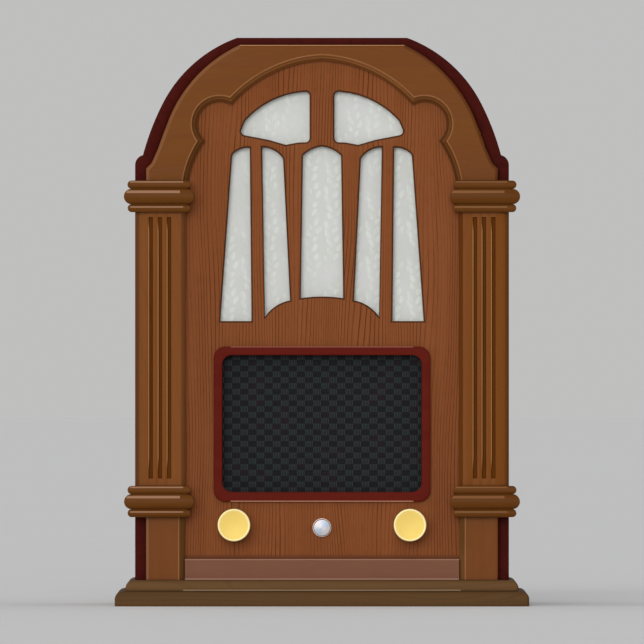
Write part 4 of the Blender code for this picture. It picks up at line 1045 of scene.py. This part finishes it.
def shaft_section(node, side, depth, bevel):
    """Cross-section of a shaft in the XY plane, its flutes cut a share of their depth.

    Each flute's left arris is worn to a bevel of a given width, which carries a painted highlight.
    Returns the points and, for each one, the material slot of the face that ends there: the
    painted highlight, painted shade inside the flutes, the inner bevel painted light or shade by
    side, and painted shade on the outer rounding.
    """
    inner, outer = sides_of(node)
    face = LOW[node].y
    back = HIGH[node].y
    points = [(side * inner, back), (side * inner, face + SHAFT_BEVEL * 1.5),
              (side * (inner + SHAFT_BEVEL), face)]
    slots = [0, 0, 3]
    radius = FLUTE_WIDTH / 2
    steps = 12
    for x in FLUTES:
        left = side * x - radius
        trench = [(left, face)]
        middle = side * x + bevel / 2
        for turn in spread(0.0, math.pi, steps):
            drop = 0.4 * bevel * (1 + math.cos(turn)) / 2
            trench.append((middle - (radius - bevel / 2) * math.cos(turn),
                           face + drop + depth * radius * math.sin(turn)))
        # Slot 1 is the painted highlight on the worn left arris, slot 2 painted shade inside the
        # flute.
        wear_and_sheen = [0, 1] + [2] * steps
        if side < 0:
            trench.reverse()
            wear_and_sheen = [0] + [2] * steps + [1]
        points += trench
        slots += wear_and_sheen
    rim = list(reversed(quarter_round(0.0026, 8)))
    points += [(side * (outer - set_in), face + deep) for set_in, deep in rim]
    points.append((side * outer, back))
    slots += [0] + [4] * len(rim)
    return points, slots


def build_shaft(word, side):
    """A pilaster shaft with three flutes stopped square, their left arrises worn and given a painted
    highlight, the flutes painted dark inside as shade.
    """
    node = f"pilaster_shaft_{word}"
    stop = 0.0002
    fresh = 0.00003
    # Width of the worn left bevel, which carries the painted highlight.
    wear_and_sheen = 0.0006
    levels = [(LOW[node].z, 0.0, fresh), (FLUTE_LOW, 0.0, fresh), (FLUTE_LOW + stop, 1.0, fresh),
              (FLUTE_LOW + 0.008, 1.0, fresh), (FLUTE_LOW + 0.020, 1.0, wear_and_sheen),
              (FLUTE_HIGH - 0.014, 1.0, wear_and_sheen), (FLUTE_HIGH - 0.005, 1.0, fresh),
              (FLUTE_HIGH - stop, 1.0, fresh), (FLUTE_HIGH, 0.0, fresh),
              (HIGH[node].z, 0.0, fresh)]
    rings = []
    for z, depth, bevel in levels:
        points, slots = shaft_section(node, side, depth, bevel)
        rings.append([(x, y, z) for x, y in points])

    def slot(number, index):
        """Plain above and below the flutes, but for the bevels."""
        fluted = 0 < number < len(levels) - 2
        return slots[index] if fluted or slots[index] > 2 else 0

    # Finishes: plain wood, painted highlight, painted flute shade, the inner bevel painted light or
    # shade by side, and painted shade on the outer rounding.
    piece(f"fluted_shaft_{word}", node, stacked(rings, slot),
          ["shaft", "wear_and_sheen", "trench", f"shaft_{word}", "shaft_edge_shade"], 50)


def build_capital(node, side, levels):
    """Three fat rolls, small, large and small, returned at both ends, with painted highlight lines
    in front.
    """
    front = FACE - CAPITAL_DEPTH
    steps = 24
    corner = 0.0008
    arc_steps = 5
    outer = arc_steps + 3
    rings = []
    highlighted_rings = []
    for number, (low, high) in enumerate(zip(levels, levels[1:])):
        radius = (high - low) / 2
        first, last = ROLL_HIGHLIGHT[number]
        inner_end, outer_end = HIGHLIGHT_ENDS[side]["large" if number == 1 else "small"]
        turns = spread(0.0, math.pi, steps)[1 if rings else 0:]
        turns += [math.acos(2 * share - 1) for share in (first, last)]
        for turn in sorted(turns):
            swell = radius * math.sin(turn)
            z = low + radius * (1 - math.cos(turn))
            left = CAPITAL_INNER - swell
            right = CAPITAL_OUTER + swell
            y = front - max(radius * abs(math.sin(turn)) ** FULLNESS, CREASE)
            ends = (max(inner_end, left + 1.1 * corner), min(outer_end, right - 1.1 * corner))
            plan = filleted([(left, PLANTED, 0.0), (left, y, corner), (ends[0], y, 0.0),
                             (ends[1], y, 0.0), (right, y, corner), (right, PLANTED, 0.0)],
                            arc_steps)
            rings.append([(side * x, y, z) for x, y in plan])
            highlighted_rings.append(first - 0.001 < (high - z) / (high - low) < last + 0.001)

    def slot(number, index):
        """1 on the painted highlight line."""
        return 1 if index == outer and highlighted_rings[number] and highlighted_rings[number + 1] else 0

    # The left pilaster's painted highlight is brighter than the right's.
    painted_gleam = "painted_gleam" if side < 0 else "painted_glint"
    piece(f"{node}_rolls", node, stacked(rings, slot), ["capital", painted_gleam], 60)


def build_pedestal(word, side):
    """The plain block under a pilaster, bevelled on its inner edge."""
    node = f"pedestal_{word}"
    inner, outer = sides_of(node)
    face = LOW[node].y
    bevel = inner + PEDESTAL_BEVEL
    # Painted highlights: along the bevel's arris up to here, and on the left block from the band's
    # start to the outer edge.
    line = bevel + 0.0009
    lit_band = outer - 0.0024
    plan = filleted([(inner, HIGH[node].y, 0.0), (inner, face + PEDESTAL_BEVEL, 0.0004),
                     (bevel, face, 0.0003), (line, face, 0.0), (lit_band, face, 0.0),
                     (outer, face, 0.0012), (outer, HIGH[node].y, 0.0)], 5)
    rings = [[(side * x, y, z) for x, y in plan] for z in (LOW[node].z, HIGH[node].z)]

    def slot(number, index):
        """The bevel is dark, its arris carries a painted highlight, and the left-hand block's outer
        edge another.
        """
        middle = (plan[index][0] + plan[index - 1][0]) / 2
        if middle < bevel - 0.0001:
            return 1
        if middle < line - 0.0001:
            return 2
        return 3 if side < 0 and middle > lit_band else 0

    piece(f"{node}_block", node, stacked(rings, slot),
          ["pedestal", "bevel", "arris_highlight", "block_lit_band"], 50)


def build_cabinet():
    """Everything that is wood."""
    build_plinth("plinth_lower")
    build_plinth("plinth_upper")
    build_shell()
    build_panel()
    build_moulding()
    build_rail()
    build_speaker_frame()
    for word, side in (("left", -1), ("right", 1)):
        build_shaft(word, side)
        build_capital(f"pilaster_capital_{word}", side, UPPER_ROLLS)
        build_capital(f"pilaster_base_{word}", side, LOWER_ROLLS)
        build_pedestal(word, side)


# -------------------- grille cloths
def build_cloth(name, node, key, columns, rows, relief):
    """A stretched cloth: a front of given columns and rows with a relief, and a plain back."""
    front = LOW[node].y
    back = HIGH[node].y
    rings = []
    for z in rows:
        rings.append([(x, front - relief(x, z), z) for x in columns]
                     + [(columns[-1], back, z), (columns[0], back, z)])
    return piece(name, node, stacked(rings), [key], 75)


def build_cloths():
    """The pale damask behind the fretwork and the checkered weave in the red frame."""
    node = "upper_grille_cloth"
    half = HIGH[node].x
    low = LOW[node].z
    high = HIGH[node].z

    def ripple(x, z):
        """A slight unevenness where the cloth is stretched, nothing at its edges."""
        inside = min(half - abs(x), z - low, high - z) / 0.010
        wave = math.sin(x * 95 + 1.3 * math.sin(z * 41)) * math.sin(z * 33 + 0.7)
        return 0.00010 * (1 + wave) * max(0.0, min(1.0, inside))

    upper = build_cloth("damask_grille_cloth", node, "damask", spread(-half, half, 106),
                        spread(low, high, 122), ripple)

    node = "lower_grille_cloth"
    half = HIGH[node].x

    def woven(x, z):
        """Upright threads stand out of every other cell, level ones of the rest."""
        u = (x - CELL_LEFT) / CELL_WIDTH
        v = (z - CELL_FOOT) / CELL_HEIGHT
        inside = min(WINDOW[0] - abs(x), z - WINDOW[1], WINDOW[2] - z) / 0.0015
        share = max(0.0, min(1.0, inside))
        across = u - math.floor(u)
        up = v - math.floor(v)
        relief, threads = 0.00035, LEVEL_THREADS
        if (math.floor(u) + math.floor(v)) % 2:
            relief, threads = 0.00065, UPRIGHT_THREADS
            across, up = up, across
        crown = math.sin(math.pi * across) ** 0.6
        return share * relief * crown * abs(math.sin(threads * math.pi * up)) ** 0.7

    right = CELL_LEFT + CELL_COLUMNS * CELL_WIDTH
    top = CELL_FOOT + CELL_HEIGHT * CELL_ROWS
    steps = 3                                # from one side of a thread to the other
    columns = spread(CELL_LEFT, right, CELL_COLUMNS * UPRIGHT_THREADS * steps)
    rows = spread(CELL_FOOT, top, CELL_ROWS * LEVEL_THREADS * steps)
    columns = [-half] + columns + [half]
    rows = [LOW[node].z] + rows + [HIGH[node].z]
    lower = build_cloth("checker_grille_cloth", node, "weave", columns, rows, woven)


# -------------------- controls
def knob_profile(node):
    """Profile of a knob from its bore round its back, side and rim to its dished face."""
    depth = HIGH[node].y - LOW[node].y
    radius = (HIGH[node].x - LOW[node].x) / 2
    bore = 0.0033
    deep = 0.012
    side = [(0.0, radius - 0.0012), (-0.0012, radius - 0.0002), (-0.0030, radius - 0.0002),
            (-0.0034, radius - 0.0006), (-0.0040, radius - 0.0006), (-RIB_BACK, radius)]
    ribs = [(along, radius) for along in spread(-RIB_BACK, RIB_FRONT - depth, 10)[1:]]
    front = [(-depth + 0.0030, radius - 0.0005), (-depth + 0.0024, radius - 0.0005),
             (-depth + 0.0019, radius)]
    rim = [(-depth + 0.0012, radius), (-depth + 0.0004, radius - 0.0004),
           (-depth, radius - 0.0011), (-depth + 0.0002, radius - 0.0016),
           (-depth + 0.0007, radius - 0.0019)]
    dish = [(-depth + 0.0007 + 0.0005 * math.cos(math.pi / 2 * share), (radius - 0.0020) * share)
            for share in spread(1.0, 0.0, 12)[:-1]]
    return ([(-deep, 0.0), (-deep, bore), (0.0, bore)] + side + ribs + front + rim + dish
            + [(-depth + 0.0012, 0.0)])


def build_knobs():
    """Both knobs: ribbed sides, a polished rim painted paler as its highlight, and a dished face."""
    for node in ("tuning_knob", "volume_knob"):
        depth = HIGH[node].y - LOW[node].y

        def rib(along, angle):
            """The ribs of the side, which run out at its front."""
            if not RIB_FRONT + 0.0001 - depth < along <= -RIB_BACK:
                return 0.0
            return RIB_DEPTH * (0.5 + 0.5 * math.cos(RIB_COUNT * angle))

        piece(f"{node}_gold", node, turned(knob_profile(node), "Y", 6 * RIB_COUNT, rib), ["gold"],
              55, (MIDDLE[node].x, HIGH[node].y, MIDDLE[node].z))


def build_button():
    """The push button, crowned, in its rounded bezel."""
    node = "power_button"
    radius = (HIGH[node].x - LOW[node].x) / 2
    front = LOW[node].y
    stem = 0.0028
    length = HIGH[node].y - front
    edge = 0.0006
    crown = 0.0007
    cap = 0.0130
    profile = [(crown * share ** 2, (radius - edge) * share) for share in spread(0.0, 1.0, 8)]
    profile += [(crown + edge * (1 - math.cos(turn)), radius - edge + edge * math.sin(turn))
                for turn in spread(0.0, math.pi / 2, 6)[1:]]
    profile += [(cap, radius), (cap, stem), (length, stem), (length, 0.0)]
    piece("push_button_cap", node, turned(profile, "Y", 96), ["silver"],
          place=(0.0, front, BUTTON_Z))
    node = "button_bezel"
    outer = (HIGH[node].x - LOW[node].x) / 2
    wall = 0.0008
    swell = 0.0009
    deep = HIGH[node].y - LOW[node].y
    ring = [(deep, outer - wall), (deep, outer), (swell, outer)]
    ring += [(swell * (1 - math.sin(turn)), outer - wall / 2 * (1 - math.cos(turn)))
             for turn in spread(0.0, math.pi, 12)[1:-1]]
    ring += [(swell, outer - wall)]
    piece("bezel_ring", node, turned(ring, "Y", 96), ["rim"],
          place=(0.0, LOW[node].y, BUTTON_Z))


# -------------------- back of the set
def build_rear_cover():
    """The vented cover: slots with round ends, and every edge eased."""
    node = "rear_cover"
    front = LOW[node].y
    back = HIGH[node].y
    rim = mirrored(cabinet_half(COVER_INSET, FLOOR + COVER_INSET))
    screw = 0.0021
    holes = [circle(MIDDLE[name].x, MIDDLE[name].z, screw, 24) for name in screw_nodes()]
    holes.append(rounded_rectangle(*COVER_WINDOW, 0.004))
    for row, count in VENT_ROWS:
        for index in range(count):
            x = VENT_PITCH * (index - (count - 1) / 2)
            holes.append(rounded_rectangle(VENT_WIDTH / 2, row, row + VENT_LENGTH,
                                           VENT_WIDTH / 2 - 0.0001, x, 6))
    ease = 0.0005
    layers = [(front, [rim] + holes), (back - ease, [rim] + holes),
              (back, [inset(rim, ease)] + [inset(spaced(hole), -ease) for hole in holes])]
    layers = [(y, [spaced(loop) for loop in loops]) for y, loops in layers]
    piece("vented_cover", node, board(layers), ["hardboard"], 30)


def screw_nodes():
    """Names of the rear cover's screws."""
    return sorted(node for node in frame["nodes"] if node.startswith("rear_cover_screw"))


def build_screws():
    """Slotted round-head screws, each turned to its own angle."""
    shank = 0.0013
    head = 0.0020
    profile = [(-0.0100, 0.0), (-0.0085, shank), (0.0, shank), (0.0, 0.0034)]
    profile += [(min(0.0022 * math.cos(turn), head), 0.0036 * math.sin(turn))
                for turn in spread(math.pi / 2, 0.0, 10)[1:-1]]
    profile.append((head, 0.0))
    for number, node in enumerate(screw_nodes()):
        place = (MIDDLE[node].x, HIGH[node].y - head, MIDDLE[node].z)
        made = piece(f"{node}_slotted", node, turned(profile, "Y", 40), ["steel"], 35, place)
        slot = block((-0.005, 0.0011, -0.0004), (0.005, 0.005, 0.0004), 0.0001)
        slot.transform(Matrix.Translation(place) @ Matrix.Rotation(0.9 * number + 0.4, 4, "Y"))
        cut(made, slot)


# -------------------- valves
def build_valves():
    """Each valve: a brown base, a shouldered envelope, and its electrodes under a silver flash."""
    base = [(0.0, 0.0), (0.0, 0.0160), (0.0010, 0.0165), (0.0250, 0.0165), (0.0260, 0.0160),
            (0.0264, 0.0138), (0.0264, 0.0)]
    outside = [(0.0267, 0.0), (0.0267, 0.0134), (0.0280, 0.0146), (0.0400, 0.0182),
               (0.0520, 0.0220), (0.0620, 0.0220), (0.0740, 0.0178), (0.0820, 0.0134),
               (0.0960, 0.0123), (0.1020, 0.0094), (0.1050, 0.0040), (0.1060, 0.0)]
    anode = [(0.0400, 0.0), (0.0400, 0.0085), (0.0405, 0.0090), (0.0695, 0.0090),
             (0.0700, 0.0085), (0.0700, 0.0)]
    flash = [(0.0975, 0.0), (0.0975, 0.0100), (0.1010, 0.0083), (0.1035, 0.0038), (0.1043, 0.0)]

    def pleat(along, angle):
        """Four ribs pressed into the anode."""
        return 0.0012 * max(0.0, math.cos(4 * angle)) if 0.0402 < along < 0.0698 else 0.0

    for number in range(1, 5):
        node = f"valve_{number}"
        place = (MIDDLE[node].x, MIDDLE[node].y, LOW[node].z)
        piece(f"{node}_base", node, turned(rounded(base, 0.0006), "Z", 48), ["bakelite"], 50,
              place)
        envelope = piece(f"{node}_envelope", node, turned(rounded(outside, 0.006, 6), "Z", 48),
                         ["glass"], 70, place)
        wall = envelope.modifiers.new("wall", "SOLIDIFY")
        wall.thickness = 0.0007
        wall.offset = -1
        piece(f"{node}_anode", node, turned(anode, "Z", 48, pleat), ["iron"], 50, place)
        piece(f"{node}_getter", node, turned(flash, "Z", 40), ["getter"], place=place)


# -------------------- carried-over CAD nodes
CAD_FINISHES = {
    "steel": ("chassis", "tuning_spindle", "volume_shaft"),
    "iron": ("mains_transformer", "volume_control", "main_speaker_basket",
             "second_speaker_basket", "main_speaker_magnet", "second_speaker_magnet"),
    "aluminium": ("smoothing_capacitor_1", "smoothing_capacitor_2", "tuning_capacitor_frame",
                  "tuning_capacitor_rotor"),
    "brass": ("drive_drum", "tuning_bush"),
    "bakelite": ("valve_socket_1", "valve_socket_2", "valve_socket_3", "valve_socket_4",
                 "power_switch", "terminal_strip"),
    "cone": ("main_speaker_cone", "second_speaker_cone"),
    "ply": ("speaker_baffle",),
    "rubber": ("mains_grommet",),
    "cord": ("drive_cord",),
}


def finish_cad_nodes():
    """Give the CAD nodes that stay on show their finishes."""
    for key, nodes in CAD_FINISHES.items():
        for node in nodes:
            slots = frame["nodes"][node].data.materials
            slots.clear()
            slots.append(FINISH[key])


# -------------------- studio
def build_floor():
    """A wide pale floor."""
    bm = bmesh.new()
    bmesh.ops.create_grid(bm, x_segments=1, y_segments=1, size=40.0)
    floor = added("studio_floor", mesh_of("studio_floor", bm, ["floor"]))


def add_sun(name, azimuth, elevation, strength, softness):
    """A sun from a compass direction, 0 being straight in front of the set and 90 its right."""
    light = bpy.data.lights.new(name, "SUN")
    light.energy = strength
    light.angle = math.radians(softness)
    a = math.radians(azimuth)
    e = math.radians(elevation)
    towards = Vector((math.sin(a) * math.cos(e), -math.cos(a) * math.cos(e), math.sin(e)))
    added(name, light).rotation_euler = towards.to_track_quat("Z", "Y").to_euler()


def build_world():
    """A soft grey surround that the camera itself sees as pale as the floor."""
    world = bpy.data.worlds.new("studio")
    world.use_nodes = True
    tree = world.node_tree
    background = tree.nodes["Background"]
    path = tree.nodes.new("ShaderNodeLightPath")
    tone = tree.nodes.new("ShaderNodeMix")
    tone.data_type = "RGBA"
    tone.inputs[6].default_value = (0.42, 0.42, 0.43, 1.0)
    tone.inputs[7].default_value = (0.523, 0.523, 0.52, 1.0)
    tree.links.new(path.outputs["Is Camera Ray"], tone.inputs[0])
    tree.links.new(tone.outputs[2], background.inputs["Color"])
    bpy.context.scene.world = world


def build_camera():
    """A long lens straight in front, level, with the whole set in view."""
    camera = bpy.data.cameras.new("camera")
    camera.lens = 1200.0
    camera.sensor_width = 36.0
    camera.clip_end = 1000.0
    view_width = 0.622
    level = 0.2744
    distance = view_width * camera.lens / camera.sensor_width
    made = added("camera", camera, (0.0, LOW["arch_moulding"].y - distance, level))
    made.rotation_euler = (math.pi / 2, 0.0, 0.0)
    bpy.context.scene.camera = made


def build_studio():
    """Floor, lights, surround and camera."""
    build_floor()
    add_sun("key_light", -10, 13, 1.74, 40)
    add_sun("top_light", 0, 60, 0.2, 12)
    add_sun("side_light", -78, 12, 0.5, 12)
    add_sun("front_light", 0, 6, 0.12, 6)
    build_world()
    build_camera()
    bpy.context.scene.view_settings.view_transform = "Standard"


def main():
    """Build the looks."""
    build_studio()
    build_cabinet()
    build_cloths()
    build_knobs()
    build_button()
    build_rear_cover()
    build_screws()
    build_valves()
    finish_cad_nodes()


main()
